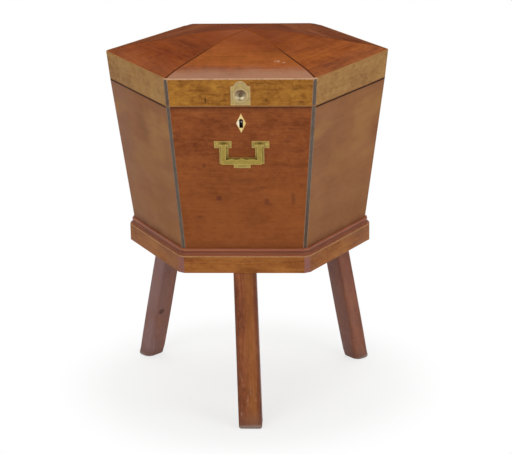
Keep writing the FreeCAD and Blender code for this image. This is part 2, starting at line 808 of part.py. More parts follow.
def make_lid_top(name, turn):
    """Curved panel of the dome, rebated along both hips for the inlaid lines."""
    panel = new_body(f"lid_top_{name}", turn)
    dome_layer(panel, "0", "Sizes.inlay_deep")
    trim_sector(panel, HIP_HALF)
    dome_layer(panel, "Sizes.inlay_deep", "Sizes.dome_thick")
    trim_sector(panel, "0")


def make_hip_band(label, near, far):
    """Six pairs of strips along the hips, between two offsets from each hip, joined at the top."""
    body = new_body(label, 0, False)
    dome_layer(body, "0", "Sizes.inlay_deep")
    trim_sector(body, near)
    inside = [("0", f"(-2 * {far})"), on_corner_line(f"({LID_FLAT} * 2)", far)]
    corners = [inside[0], inside[1], (f"-{inside[1][0]}", inside[1][1])]
    pocket(body, outline(level_sketch(body, OVER_DOME), corners), THROUGH_DOME)
    around(body, [], len(SIDES), whole=True)
    return body


def make_edge_line():
    """Pale square line round the top edge of the rails."""
    body = new_body("lid_edge_line", 0, False)
    sections = []
    for level in (LID_WALL_TOP, LID_TOP):
        sections.append(outline(level_sketch(body, level), ring_section(lid_flat(level), BAND_HALF)))
    loft(body, *sections)
    inner_half = f"(({DOME_FLAT} - {panel_reach()} * cos(30)) * 2)"
    opening = outline(level_sketch(body, LID_TOP), ring_section(DOME_FLAT, inner_half))
    pocket(body, opening, "Sizes.inlay_deep * 2", middle=True)
    return body


def make_foot_line():
    """Pale line round the foot of the rails, just over the joint."""
    body = new_body("lid_foot_line", 0, False)
    sections = []
    for level in (LID_LOW, LID_FACE_LOW):
        sections.append(outline(level_sketch(body, level), ring_section(lid_flat(level), BAND_HALF)))
    loft(body, *sections)
    inner = ring_section(f"({lid_flat(LID_LOW)} - Sizes.lid_foot_line)", foot_line_half())
    opening = outline(level_sketch(body, LID_LOW), inner)
    pocket(body, opening, "Sizes.lid_foot_line * 4", middle=True)
    return body


# ---------------------------------------------------------------- screws

def make_screw(label, place, angle):
    """Countersunk screw; its head faces up at angle 0 and turns about X."""
    body = new_body(label, 0, False)
    head = "(Sizes.screw_head - Sizes.screw_shank)"
    profile = outline(new_sketch(body, "XZ_Plane"), [
        ("0", "0"),
        ("Sizes.screw_head", "0"),
        ("Sizes.screw_shank", f"(-{head})"),
        ("Sizes.screw_shank", "(Sizes.screw_shank - Sizes.screw_length)"),
        ("0", "(-Sizes.screw_length)"),
    ])
    revolve(body, profile, line="V_Axis")
    body.Placement = Placement(Vector(), Rotation(AXIS_X, 1))
    for letter, expression in zip("xyz", place):
        body.setExpression(f"Placement.Base.{letter}", expression)
    body.setExpression("Placement.Rotation.Angle", angle)
    return body


def screw_holes(body, sketch, centres, depth="Sizes.screw_length"):
    """Pilot holes for screws, cut against the sketch's normal."""
    circles(sketch, centres, "(Sizes.screw_shank + Sizes.screw_clear)")
    return pocket(body, sketch, depth)


def countersunk_holes(body, sketch, centres):
    """Countersunk holes right through a plate, cut against the sketch's normal."""
    circles(sketch, centres, "Sizes.screw_shank")
    doc.recompute()
    hole = body.newObject("PartDesign::Hole", f"{body.Name}_holes")
    hole.Profile = sketch
    hole.DepthType = "ThroughAll"
    hole.HoleCutType = "Countersink"
    hole.HoleCutCustomValues = True
    hole.HoleCutCountersinkAngle = 90
    hole.setExpression("Diameter", "2 * (Sizes.screw_shank + Sizes.screw_clear)")
    hole.setExpression("HoleCutDiameter", "2 * (Sizes.screw_head + Sizes.screw_clear)")
    return hole


# ---------------------------------------------------------------- carrying handles

HANDLE_LEVEL = f"({RIM} - Sizes.handle_drop)"
HANDLE_FLAT = case_flat(HANDLE_LEVEL)
PIVOT_OUT = "(Sizes.plate_proud + Sizes.lug_gap + Sizes.lug_radius)"
BAR_LOW = "(-Sizes.bar_drop - Sizes.bar_plate_half)"
TAB_LOW = f"({BAR_LOW} - Sizes.tab_height)"
HANDLE_SIDES = {"front": -1, "back": 1}


def handle_outline():
    """Flat backplate: two cross heads, two arms, the bar between them and a tab below it."""
    arm_in = "(Sizes.arm_middle - Sizes.arm_plate_half)"
    arm_out = "(Sizes.arm_middle + Sizes.arm_plate_half)"
    bar_high = "(-Sizes.bar_drop + Sizes.bar_plate_half)"
    head = "Sizes.head_half_height"
    return mirrored([
        ("Sizes.tab_half", TAB_LOW),
        ("Sizes.tab_half", BAR_LOW),
        (arm_out, BAR_LOW),
        (arm_out, f"(-{head})"),
        ("Sizes.head_outer", f"(-{head})"),
        ("Sizes.head_outer", head),
        ("Sizes.head_inner", head),
        ("Sizes.head_inner", f"(-{head})"),
        (arm_in, f"(-{head})"),
        (arm_in, bar_high),
    ])


def handle_screw_points():
    """Two screws in the outer ends of the heads and two in the tab beside the stop."""
    out = "((Sizes.head_outer + Sizes.arm_middle + Sizes.arm_plate_half) / 2)"
    low_x = "((Sizes.tab_half + Sizes.stop_half) / 2)"
    low_y = f"({BAR_LOW} - Sizes.tab_height / 2)"
    return [(out, "0"), (f"-{out}", "0"), (low_x, low_y), (f"-{low_x}", low_y)]


def lug_places():
    """Middles of the four lugs across the handle."""
    shift = "(Sizes.bail_half + Sizes.lug_gap + Sizes.lug_thick / 2)"
    return [f"({side} * Sizes.arm_middle + {way} * {shift})" for side in (-1, 1) for way in (-1, 1)]


def make_handle(name, turn, side, panel):
    """Inlaid backplate with pierced lugs, a hanging bail and its two pins."""
    plate = new_body(f"{name}_handle_plate", turn)
    face = outline(face_sketch(plate, HANDLE_LEVEL, HANDLE_FLAT, CASE_LEAN), handle_outline())
    pad(plate, face, "Sizes.plate_proud", back="Sizes.plate_sunk")
    stop = face_sketch(plate, HANDLE_LEVEL, HANDLE_FLAT, CASE_LEAN)
    middle = f"({BAR_LOW} - Sizes.tab_height / 2)"
    low = f"({middle} - Sizes.stop_height / 2)"
    high = f"({middle} + Sizes.stop_height / 2)"
    box_outline(stop, "(-Sizes.stop_half)", "Sizes.stop_half", low, high)
    pad(plate, stop, "Sizes.plate_proud + Sizes.stop_rise")
    for across in lug_places():
        pad(plate, lug_profile(plate, across), "Sizes.lug_thick", middle=True)
    bore = side_sketch(plate, "0", HANDLE_LEVEL, HANDLE_FLAT, CASE_LEAN)
    circles(bore, [(f"(-{PIVOT_OUT})", "0")], "(Sizes.pin_radius + Sizes.running_clear)")
    pocket(plate, bore, "Sizes.head_outer * 2", middle=True)
    seat = face_sketch(plate, HANDLE_LEVEL, HANDLE_FLAT, CASE_LEAN)
    seat.setExpression("AttachmentOffset.Base.z", f"{HANDLE_FLAT} + Sizes.plate_proud * cos({CASE_LEAN})")
    seat.setExpression("AttachmentOffset.Base.y", f"{HANDLE_LEVEL} - Sizes.plate_proud * sin({CASE_LEAN})")
    countersunk_holes(plate, seat, handle_screw_points())

    recess = outline(face_sketch(panel, HANDLE_LEVEL, HANDLE_FLAT, CASE_LEAN), handle_outline())
    pocket(panel, recess, "Sizes.plate_sunk")
    holes = face_sketch(panel, HANDLE_LEVEL, HANDLE_FLAT, CASE_LEAN)
    screw_holes(panel, holes, handle_screw_points())

    make_bail(name, turn)
    make_handle_pins(name, turn)
    screws = []
    for number, (x, up) in enumerate(handle_screw_points()):
        y, z = on_face(HANDLE_LEVEL, HANDLE_FLAT, CASE_LEAN, up, "Sizes.plate_proud")
        place = (x, f"({-side} * {y})", z)
        angle = f"({-side} * (90 deg + {CASE_LEAN}))"
        screws.append(make_screw(f"{name}_handle_screw_{number}", place, angle))
    return screws


def lug_profile(plate, across):
    """Round-headed lug that stands on the backplate."""
    lug = side_sketch(plate, across, HANDLE_LEVEL, HANDLE_FLAT, CASE_LEAN)
    radius = "Sizes.lug_radius"
    inside = "(-Sizes.plate_proud / 2)"
    crown = f"(-{PIVOT_OUT} - Sizes.lug_crown)"
    half = f"sqrt({radius}^2 - Sizes.lug_crown^2)"
    foot = "Sizes.lug_foot_half"
    return outline(lug, [
        (inside, f"(-{foot})"),
        (inside, foot),
        (crown, half),
        (crown, f"(-{half})", radius, "left"),
    ])


def pivot_point():
    """Flat and level of the bail's pivot line."""
    y, z = on_face(HANDLE_LEVEL, HANDLE_FLAT, CASE_LEAN, "0", PIVOT_OUT)
    return f"(-{y})", z


def make_bail(name, turn):
    """Square-cornered bail that hangs upright from its pins, with a low peak on its bar."""
    body = new_body(f"{name}_handle_bail", turn)
    flat, level = pivot_point()
    front = new_sketch(body, "XZ_Plane", ("0", level, flat))
    inner = "(Sizes.arm_middle - Sizes.bail_half)"
    outer = "(Sizes.arm_middle + Sizes.bail_half)"
    low = "(-Sizes.bar_drop - Sizes.bail_half)"
    high = "(-Sizes.bar_drop + Sizes.bail_half)"
    peak = f"({high} + Sizes.bail_peak)"
    foot = f"({high} + Sizes.peak_foot)"
    shoulder = "Sizes.peak_half"
    hollow = "Sizes.peak_hollow_radius"
    crest = "Sizes.peak_crest_radius"
    outline(front, [
        (f"(-{outer})", low),
        (outer, low),
        (outer, "0"),
        (inner, "0"),
        (inner, high),
        (shoulder, foot, hollow, "left"),
        ("0", peak, crest, "right"),
        (f"(-{shoulder})", foot, crest, "right"),
        (f"(-{inner})", high, hollow, "left"),
        (f"(-{inner})", "0"),
        (f"(-{outer})", "0"),
    ])
    pad(body, front, "Sizes.bail_thick", middle=True)
    for way in (-1, 1):
        eye = new_sketch(body, "YZ_Plane", (f"(-{flat})", level, f"({way} * Sizes.arm_middle)"))
        circles(eye, [("0", "0")], "Sizes.eye_radius")
        pad(body, eye, "Sizes.bail_half * 2", middle=True)
    bore = new_sketch(body, "YZ_Plane", (f"(-{flat})", level, "0"))
    circles(bore, [("0", "0")], "(Sizes.pin_radius + Sizes.running_clear)")
    pocket(body, bore, "Sizes.head_outer * 2", middle=True)


def make_handle_pins(name, turn):
    """Two pins, each through a pair of lugs and the eye between them."""
    body = new_body(f"{name}_handle_pins", turn)
    flat, level = pivot_point()
    length = "(2 * (Sizes.bail_half + Sizes.lug_gap + Sizes.lug_thick))"
    for way in (-1, 1):
        pin = new_sketch(body, "YZ_Plane", (f"(-{flat})", level, f"({way} * Sizes.arm_middle)"))
        circles(pin, [("0", "0")], "Sizes.pin_radius")
        pad(body, pin, length, middle=True)


# ---------------------------------------------------------------- keyhole and lock

KEYHOLE_LEVEL = f"({RIM} - Sizes.keyhole_drop)"
LOCK_FLAT = f"({CASE_FLAT_HIGH} - Sizes.lock_inset)"
LOCK_TOP = f"({RIM} - Sizes.lock_plate_thick)"
LOCK_OUT = f"({LOCK_FLAT} + Sizes.lock_half_thick)"
LOCK_IN = f"({LOCK_FLAT} - Sizes.lock_half_thick)"
BOLT_LEVEL = f"({RIM} - Sizes.bolt_drop)"


def keyhole_cuts(body, make_sketch, depth, back=False):
    """Round head and straight slot of a keyhole."""
    circle = circles(make_sketch(body), [("0", "Sizes.keyhole_rise")], "Sizes.keyhole_radius")
    pocket(body, circle, depth, forward=back)
    half = "Sizes.keyhole_slot_half"
    slot = box_outline(make_sketch(body), f"(-{half})", half, "(-Sizes.keyhole_fall)", "Sizes.keyhole_rise")
    pocket(body, slot, depth, forward=back)


def keyhole_sketch(body):
    """Sketch in the face of the case at the keyhole."""
    return face_sketch(body, KEYHOLE_LEVEL, case_flat(KEYHOLE_LEVEL), CASE_LEAN)


def diamond():
    """Lozenge round the keyhole."""
    width, height = "Sizes.diamond_half_width", "Sizes.diamond_half_height"
    return [("0", f"(-{height})"), (width, "0"), ("0", height), (f"(-{width})", "0")]


def make_escutcheon(panel):
    """Bone lozenge let in flush round the keyhole."""
    body = new_body("keyhole_escutcheon")
    inlay = pad(body, outline(keyhole_sketch(body), diamond()), "Sizes.diamond_thick")
    inlay.Reversed = True
    keyhole_cuts(body, keyhole_sketch, "Sizes.diamond_thick * 2")
    pocket(panel, outline(keyhole_sketch(panel), diamond()), "Sizes.diamond_thick")
    keyhole_cuts(panel, keyhole_sketch, "Sizes.case_thick * 2")


def make_lock(panel):
    """Box lock hung upright from its top plate, with a slot for the staple and a way for the bolt."""
    body = new_body("lock_case")
    half = "Sizes.lock_half_width"
    box = box_outline(level_sketch(body, LOCK_TOP), f"(-{half})", half, f"(-{LOCK_OUT})", f"(-{LOCK_IN})")
    downward = pad(body, box, "Sizes.lock_height")
    downward.Reversed = True
    plate_out = f"({LOCK_OUT} + Sizes.lock_plate_lip)"
    wide = "Sizes.lock_plate_half"
    plate = box_outline(level_sketch(body, LOCK_TOP), f"(-{wide})", wide, f"(-{plate_out})", f"(-{LOCK_IN})")
    pad(body, plate, "Sizes.lock_plate_thick")
    slot_x = "(Sizes.staple_half_thick + Sizes.staple_clear)"
    slot_y = "(Sizes.staple_half_width + Sizes.staple_clear)"
    slot = level_sketch(body, RIM)
    box_outline(slot, f"(-{slot_x})", slot_x, f"(-{LOCK_FLAT} - {slot_y})", f"({slot_y} - {LOCK_FLAT})")
    pocket(body, slot, "Sizes.staple_length + Sizes.staple_clear")
    way = new_sketch(body, "XZ_Plane", ("0", BOLT_LEVEL, LOCK_FLAT))
    outline(way, bolt_outline("Sizes.bolt_clear", True))
    pocket(body, way, "2 * (Sizes.bolt_half_thick + Sizes.bolt_clear)", middle=True)
    keyhole_cuts(body, lock_keyhole_sketch, "Sizes.lock_half_thick")
    pin = circles(lock_keyhole_sketch(body), [("0", "Sizes.keyhole_rise")], "Sizes.lock_pin_radius")
    pad(body, pin, "Sizes.lock_pin_length", back="(Sizes.lock_half_thick + Sizes.lock_pin_radius)")
    countersunk_holes(body, level_sketch(body, RIM), lock_screw_points())

    recess = level_sketch(panel, RIM)
    far_in = f"({LOCK_IN} - Sizes.case_thick)"
    box_outline(recess, f"(-{half})", half, f"(-{LOCK_OUT})", f"(-{far_in})")
    pocket(panel, recess, "Sizes.lock_height + Sizes.lock_plate_thick")
    rebate = level_sketch(panel, RIM)
    box_outline(rebate, f"(-{wide})", wide, f"(-{plate_out})", f"(-{far_in})")
    pocket(panel, rebate, "Sizes.lock_plate_thick")
    screw_holes(panel, level_sketch(panel, RIM), lock_screw_points())
    return [make_screw(f"lock_screw_{n}", (x, y, RIM), "0") for n, (x, y) in enumerate(lock_screw_points())]


def lock_keyhole_sketch(body):
    """Upright sketch on the lock's outer face, level with the keyhole of the panel."""
    return new_sketch(body, "XZ_Plane", ("0", KEYHOLE_LEVEL, LOCK_OUT))


def lock_screw_points():
    """One screw in each end of the lock's top plate."""
    x = "((Sizes.lock_half_width + Sizes.lock_plate_half) / 2)"
    y = f"(-{LOCK_OUT})"
    return [(x, y), (f"-{x}", y)]


def bolt_outline(clear, whole_way):
    """Bolt with a tail for the key, or with clearance and travel the way that it slides in."""
    tip = f"(-Sizes.bolt_rest + {clear})"
    tail_right = f"(-Sizes.bolt_rest - Sizes.bolt_length + Sizes.bolt_tail_width + {clear})"
    if whole_way:
        tip = f"({tip} + Sizes.bolt_travel)"
        tail_right = f"({tail_right} + Sizes.bolt_travel)"
    end = f"(-Sizes.bolt_rest - Sizes.bolt_length - {clear})"
    high = f"(Sizes.bolt_half_height + {clear})"
    low = f"(-Sizes.bolt_half_height - {clear})"
    tail = f"(-Sizes.bolt_tail_drop - {clear})"
    return [(end, tail), (tail_right, tail), (tail_right, low), (tip, low), (tip, high), (end, high)]


def make_bolt():
    """Flat bolt that shoots sideways through the staple."""
    body = new_body("lock_bolt")
    bolt = outline(new_sketch(body, "XZ_Plane", ("0", BOLT_LEVEL, LOCK_FLAT)), bolt_outline("0", False))
    pad(body, bolt, "2 * Sizes.bolt_half_thick", middle=True)


def make_link_plate(rail):
    """Plate under the lid's front rail with the staple that enters the lock."""
    body = new_body("lock_link_plate")
    out = f"({LOCK_OUT} + Sizes.link_plate_lip)"
    inside = f"({LOCK_FLAT} - Sizes.staple_half_width)"
    half = "Sizes.link_plate_half"
    plate = box_outline(level_sketch(body, LID_LOW), f"(-{half})", half, f"(-{out})", f"(-{inside})")
    pad(body, plate, "Sizes.link_plate_thick")
    staple = level_sketch(body, LID_LOW)
    thin = "Sizes.staple_half_thick"
    width = "Sizes.staple_half_width"
    box_outline(staple, f"(-{thin})", thin, f"(-{LOCK_FLAT} - {width})", f"({width} - {LOCK_FLAT})")
    downward = pad(body, staple, "Sizes.staple_length")
    downward.Reversed = True
    eye = new_sketch(body, "YZ_Plane", (f"(-{LOCK_FLAT})", BOLT_LEVEL, "0"))
    eye_half = "(Sizes.bolt_half_thick + Sizes.bolt_clear)"
    eye_high = "(Sizes.bolt_half_height + Sizes.bolt_clear)"
    box_outline(eye, f"(-{eye_half})", eye_half, f"(-{eye_high})", eye_high)
    pocket(body, eye, "Sizes.staple_half_thick * 4", middle=True)
    points = [("Sizes.link_screw_out", f"(-{LOCK_OUT})"), ("(-Sizes.link_screw_out)", f"(-{LOCK_OUT})")]
    under = new_sketch(body, "XY_Plane", ("0", "0", LID_LOW), AXIS_X, "180")
    flipped = [(x, f"(-{y})") for x, y in points]
    countersunk_holes(body, under, flipped)

    recess = level_sketch(rail, LID_LOW)
    box_outline(recess, f"(-{half})", half, f"(-{out})", f"(-{LOCK_IN})")
    pocket(rail, recess, "Sizes.link_plate_thick", forward=True)
    holes = circles(level_sketch(rail, LID_LOW), points, "(Sizes.screw_shank + Sizes.screw_clear)")
    pocket(rail, holes, "Sizes.screw_length", forward=True)
    return [make_screw(f"link_screw_{n}", (x, y, LID_LOW), "180") for n, (x, y) in enumerate(points)]


# ---------------------------------------------------------------- lid pull

PULL_LEVEL = f"({LID_LOW} + Sizes.pull_height)"
PULL_FLAT = lid_flat(PULL_LEVEL)
DISH_SPHERE = "((Sizes.dish_radius^2 + Sizes.dish_depth^2) / (2 * Sizes.dish_depth))"
KNOB_SPHERE = "((Sizes.knob_radius^2 + Sizes.knob_crown^2) / (2 * Sizes.knob_crown))"
BOSS_RADIUS = "(Sizes.dish_radius + Sizes.dish_wall)"
BOSS_DEPTH = "(Sizes.dish_depth + Sizes.dish_wall - Sizes.plate_proud)"


def pull_outline():
    """Upright plate with an ogee-arched top."""
    half = "Sizes.pull_half_width"
    neck = "Sizes.pull_neck_half"
    neck_up = "(Sizes.pull_shoulder + Sizes.pull_neck_rise)"
    arch = f"(({neck}^2 + Sizes.pull_crest^2) / (2 * Sizes.pull_crest))"
    hollow = "Sizes.pull_hollow_radius"
    return [
        (f"(-{half})", "(-Sizes.pull_fall)"),
        (half, "(-Sizes.pull_fall)"),
        (half, "Sizes.pull_shoulder"),
        (neck, neck_up, hollow, "right"),
        (f"(-{neck})", neck_up, arch, "left"),
        (f"(-{half})", "Sizes.pull_shoulder", hollow, "right"),
    ]


def pull_screw_points():
    """A screw near each corner of the plate and one in the crest."""
    x = "(Sizes.pull_half_width - Sizes.pull_screw_margin)"
    high = "(Sizes.pull_shoulder - Sizes.pull_screw_margin)"
    low = "(Sizes.pull_screw_margin - Sizes.pull_fall)"
    top = "(Sizes.pull_shoulder + Sizes.pull_neck_rise - Sizes.pull_screw_margin)"
    return [(x, high), (f"-{x}", high), (x, low), (f"-{x}", low), ("0", top)]


def pull_sketch(body):
    """Sketch in the face of the lid's front rail at the pull."""
    return face_sketch(body, PULL_LEVEL, PULL_FLAT, LID_LEAN)


def pull_side_sketch(body):
    """Sketch across the lid's front rail through the middle of the pull."""
    return side_sketch(body, "0", PULL_LEVEL, PULL_FLAT, LID_LEAN)


def make_pull(rail):
    """Brass plate with a round dish and a raised rim, let into the lid's front rail."""
    body = new_body("lid_pull_plate")
    pad(body, outline(pull_sketch(body), pull_outline()), "Sizes.plate_proud", back="Sizes.plate_sunk")
    boss = circles(pull_sketch(body), [("0", "0")], BOSS_RADIUS)
    backward = pad(body, boss, BOSS_DEPTH)
    backward.Reversed = True
    rim = circles(pull_sketch(body), [("0", "0")], "(Sizes.dish_radius + Sizes.rim_width)")
    pad(body, rim, "Sizes.plate_proud + Sizes.rim_rise")
    floor = "(Sizes.dish_depth - Sizes.plate_proud)"
    lip = "(-Sizes.plate_proud - Sizes.rim_rise * 2)"
    dish = outline(pull_side_sketch(body), [
        (lip, "0"),
        (floor, "0"),
        ("(-Sizes.plate_proud)", "Sizes.dish_radius", DISH_SPHERE, "left"),
        (lip, "Sizes.dish_radius"),
    ])
    revolve(body, dish, kind="Groove")
    bore = circles(pull_sketch(body), [("0", "0")], "(Sizes.knob_neck + Sizes.screw_clear)")
    pocket(body, bore, f"{BOSS_DEPTH} * 2")
    seat = pull_sketch(body)
    seat.setExpression("AttachmentOffset.Base.z", f"{PULL_FLAT} + Sizes.plate_proud * cos({LID_LEAN})")
    seat.setExpression("AttachmentOffset.Base.y", f"{PULL_LEVEL} - Sizes.plate_proud * sin({LID_LEAN})")
    countersunk_holes(body, seat, pull_screw_points())

    knob = new_body("lid_pull_knob")
    neck = "Sizes.knob_neck"
    ball = "Sizes.knob_radius"
    middle = "(-Sizes.plate_proud)"
    turned = outline(pull_side_sketch(knob), [
        (f"({middle} - Sizes.knob_crown)", "0"),
        (middle, ball, KNOB_SPHERE, "right"),
        (f"({middle} + Sizes.knob_back)", neck, "Sizes.knob_back_radius", "right"),
        (BOSS_DEPTH, neck),
        (BOSS_DEPTH, "0"),
    ])
    revolve(knob, turned)

    pocket(rail, outline(pull_sketch(rail), pull_outline()), "Sizes.plate_sunk")
    pocket(rail, circles(pull_sketch(rail), [("0", "0")], BOSS_RADIUS), BOSS_DEPTH)
    screw_holes(rail, pull_sketch(rail), pull_screw_points())
    screws = []
    for number, (x, up) in enumerate(pull_screw_points()):
        y, z = on_face(PULL_LEVEL, PULL_FLAT, LID_LEAN, up, "Sizes.plate_proud")
        screws.append(make_screw(f"pull_screw_{number}", (x, y, z), f"(90 deg + {LID_LEAN})"))
    return screws


# ---------------------------------------------------------------- hinges

HINGE_FLAT = f"({CASE_FLAT_HIGH} + Sizes.hinge_out)"
HINGE_LEVEL = f"({RIM} + Sizes.lid_gap / 2)"
LEAF_INNER = f"({CASE_FLAT_HIGH} - Sizes.hinge_leaf_width)"
HINGES = {"left": 1, "right": -1}


def hinge_screw_points(side):
    """Three screws in line along a leaf; the hinges are drawn facing -Y and turned to the back."""
    y = f"(-{CASE_FLAT_HIGH} + Sizes.hinge_leaf_width / 2)"
    return [(f"({side} * Sizes.hinge_spread + {step} * Sizes.hinge_screw_out)", y) for step in (-1, 0, 1)]


def leaf_outline(middle, tabs):
    """Leaf with a tab out to the pin line at each knuckle; tabs are spans across, left to right."""
    edge = f"(-{CASE_FLAT_HIGH})"
    line = f"(-{HINGE_FLAT})"
    left = f"({middle} - Sizes.hinge_half)"
    right = f"({middle} + Sizes.hinge_half)"
    corners = [(right, f"(-{LEAF_INNER})"), (left, f"(-{LEAF_INNER})")]
    for start, end in tabs:
        if start == "end":
            corners.append((left, line))
        else:
            corners.extend([(f"({middle} + {start})", edge), (f"({middle} + {start})", line)])
        if end == "end":
            corners.append((right, line))
        else:
            corners.extend([(f"({middle} + {end})", line), (f"({middle} + {end})", edge)])
    if tabs[0][0] != "end":
        corners.insert(2, (left, edge))
        corners.append((right, edge))
    return corners


def make_leaf(label, side, tabs, knuckles, level, upward):
    """Leaf let into an edge, with its knuckles bored for the pin."""
    body = new_body(label, SIDES["back"])
    middle = f"({side} * Sizes.hinge_spread)"
    leaf = outline(level_sketch(body, level), leaf_outline(middle, tabs))
    plate = pad(body, leaf, "Sizes.hinge_leaf_thick")
    plate.Reversed = not upward
    for start, end in knuckles:
        place = (f"(-{HINGE_FLAT})", HINGE_LEVEL, f"({middle} + {start})")
        barrel = circles(new_sketch(body, "YZ_Plane", place), [("0", "0")], "Sizes.knuckle_radius")
        pad(body, barrel, f"{end} - {start}")
    bore = new_sketch(body, "YZ_Plane", (f"(-{HINGE_FLAT})", HINGE_LEVEL, middle))
    circles(bore, [("0", "0")], "(Sizes.hinge_pin_radius + Sizes.running_clear)")
    pocket(body, bore, "Sizes.hinge_half * 3", middle=True)
    points = hinge_screw_points(side)
    if upward:
        seat = new_sketch(body, "XY_Plane", ("0", "0", level), AXIS_X, "180")
        countersunk_holes(body, seat, [(x, f"(-{y})") for x, y in points])
    else:
        countersunk_holes(body, level_sketch(body, level), points)


def make_hinges(panel, rail, foot_line):
    """Two butt hinges along the back edge: leaves, pins, and the housings in case and lid."""
    half = "Sizes.hinge_half"
    inner = "(Sizes.knuckle_half + Sizes.knuckle_clear)"
    knuckle = "Sizes.knuckle_half"
    case_tabs = [("end", f"(-{inner})"), (inner, "end")]
    case_knuckles = [(f"(-{half})", f"(-{inner})"), (inner, half)]
    lid_tabs = [(f"(-{knuckle})", knuckle)]
    pins = new_body("hinge_pins", SIDES["back"])
    case_screws = []
    lid_screws = []
    outside = f"(-{HINGE_FLAT})"
    for name, side in HINGES.items():
        middle = f"({side} * Sizes.hinge_spread)"
        make_leaf(f"hinge_{name}_case_leaf", side, case_tabs, case_knuckles, RIM, False)
        make_leaf(f"hinge_{name}_lid_leaf", side, lid_tabs, lid_tabs, LID_LOW, True)
        place = (f"(-{HINGE_FLAT})", HINGE_LEVEL, middle)
        pin = circles(new_sketch(pins, "YZ_Plane", place), [("0", "0")], "Sizes.hinge_pin_radius")
        pad(pins, pin, f"{half} * 2", middle=True)
        span = (f"({middle} - {half})", f"({middle} + {half})", outside, f"(-{LEAF_INNER})")
        pocket(panel, box_outline(level_sketch(panel, RIM), *span), "Sizes.hinge_leaf_thick")
        housing = box_outline(level_sketch(rail, LID_LOW), *span)
        pocket(rail, housing, "Sizes.hinge_leaf_thick", forward=True)
        back_span = (f"(-{span[1]})", f"(-{span[0]})", f"({LEAF_INNER})", HINGE_FLAT)
        gap = box_outline(level_sketch(foot_line, LID_LOW), *back_span)
        pocket(foot_line, gap, "Sizes.lid_foot_line", forward=True)
        points = hinge_screw_points(side)
        screw_holes(panel, level_sketch(panel, RIM), points)
        holes = circles(level_sketch(rail, LID_LOW), points, "(Sizes.screw_shank + Sizes.screw_clear)")
        pocket(rail, holes, "Sizes.screw_length", forward=True)
        for number, (x, y) in enumerate(points):
            place = (f"(-{x})", f"(-{y})")
            case_screws.append(make_screw(f"hinge_{name}_case_screw_{number}", (*place, RIM), "0"))
            lid_screws.append(make_screw(f"hinge_{name}_lid_screw_{number}", (*place, LID_LOW), "180"))
    return case_screws, lid_screws


# ---------------------------------------------------------------- the whole

def make_all():
    """Build every piece of the document."""
    fill_sheet()
    for name, lie in LEGS.items():
        make_leg(name, *lie)
    make_base()
    make_moulding()
    make_case()
    foot_line = make_lid()
    case_screws, lid_screws = make_hinges(nodes["case_panel_back"], nodes["lid_rail_back"], foot_line)
    for name, side in HANDLE_SIDES.items():
        case_screws += make_handle(name, SIDES[name], side, nodes[f"case_panel_{name}"])
    make_escutcheon(nodes["case_panel_front"])
    case_screws += make_lock(nodes["case_panel_front"])
    make_bolt()
    lid_screws += make_link_plate(nodes["lid_rail_front"])
    lid_screws += make_pull(nodes["lid_rail_front"])
    group("case_brass_screws", case_screws)
    group("lid_brass_screws", lid_screws)
    doc.recompute()


def check_document():
    """Stop if a feature failed, cut nothing or left a shape that isn't sound."""
    for item in doc.Objects:
        if "Invalid" in item.State or "Error" in item.State:
            raise RuntimeError(f"{item.Name} failed")
        if item.TypeId in ("PartDesign::Pocket", "PartDesign::Groove", "PartDesign::Hole"):
            before = item.BaseFeature.Shape.Volume
            if item.Shape.Volume > before - 1e-3:
                raise RuntimeError(f"{item.Name} cuts nothing")
    for label, item in nodes.items():
        if item.Shape.isNull() or not item.Shape.isValid() or not item.Shape.Solids:
            raise RuntimeError(f"{label} has no sound shape")


def write_parts():
    """Write each node's solids to a file of its own."""
    os.makedirs("parts", exist_ok=True)
    for label, item in nodes.items():
        item.Shape.exportStep(f"parts/{label}.step")


make_all()
check_document()
write_parts()
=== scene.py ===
"""Hexagonal cellarette on three splayed legs: finishes, slotted screws and studio.

Lengths are metres, +Z up, the origin on the floor under the middle, the front towards -Y.
"""
import math
import random

import bmesh
import bpy
from bpy.props import FloatProperty, FloatVectorProperty, PointerProperty
from mathutils import Matrix, Vector


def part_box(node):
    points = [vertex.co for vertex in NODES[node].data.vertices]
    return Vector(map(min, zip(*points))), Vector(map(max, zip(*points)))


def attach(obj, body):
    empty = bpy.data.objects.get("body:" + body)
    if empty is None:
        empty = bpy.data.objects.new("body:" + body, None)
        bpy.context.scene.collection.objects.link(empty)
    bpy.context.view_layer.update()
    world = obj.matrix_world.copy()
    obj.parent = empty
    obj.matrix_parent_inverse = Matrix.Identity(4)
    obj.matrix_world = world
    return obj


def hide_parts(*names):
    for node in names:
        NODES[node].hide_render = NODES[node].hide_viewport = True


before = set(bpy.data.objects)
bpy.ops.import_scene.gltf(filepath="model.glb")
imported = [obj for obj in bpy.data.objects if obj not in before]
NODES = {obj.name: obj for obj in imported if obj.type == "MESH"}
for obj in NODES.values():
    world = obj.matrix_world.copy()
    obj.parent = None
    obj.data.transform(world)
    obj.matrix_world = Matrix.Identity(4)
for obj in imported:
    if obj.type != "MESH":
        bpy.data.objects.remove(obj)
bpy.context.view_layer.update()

bl_info = {
    "name": "Hexagonal Cellarette",
    "version": (1, 0, 0),
    "blender": (4, 5, 0),
    "location": "3D View > Sidebar > Cellarette",
    "description": "Finishes, screws and studio for a hexagonal cellarette on three legs",
    "category": "Object",
}

SIDE_NAMES = ("front", "front_right", "back_right", "back", "back_left", "front_left")
SIDE_TURNS = {name: math.radians(60 * place) for place, name in enumerate(SIDE_NAMES)}

CASE_FOOT, RIM = (corner.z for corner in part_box("case_panel_front"))
CASE_FLARE = 0.029
CASE_LEAN = math.atan2(CASE_FLARE, RIM - CASE_FOOT)
LID_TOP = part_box("lid_rail_front")[1].z
LID_REACH = -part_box("lid_rail_front")[0].y
MOULDING_LOW, MOULDING_HIGH = (corner.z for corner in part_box("base_moulding"))
KEYHOLE_DROP = 0.0271

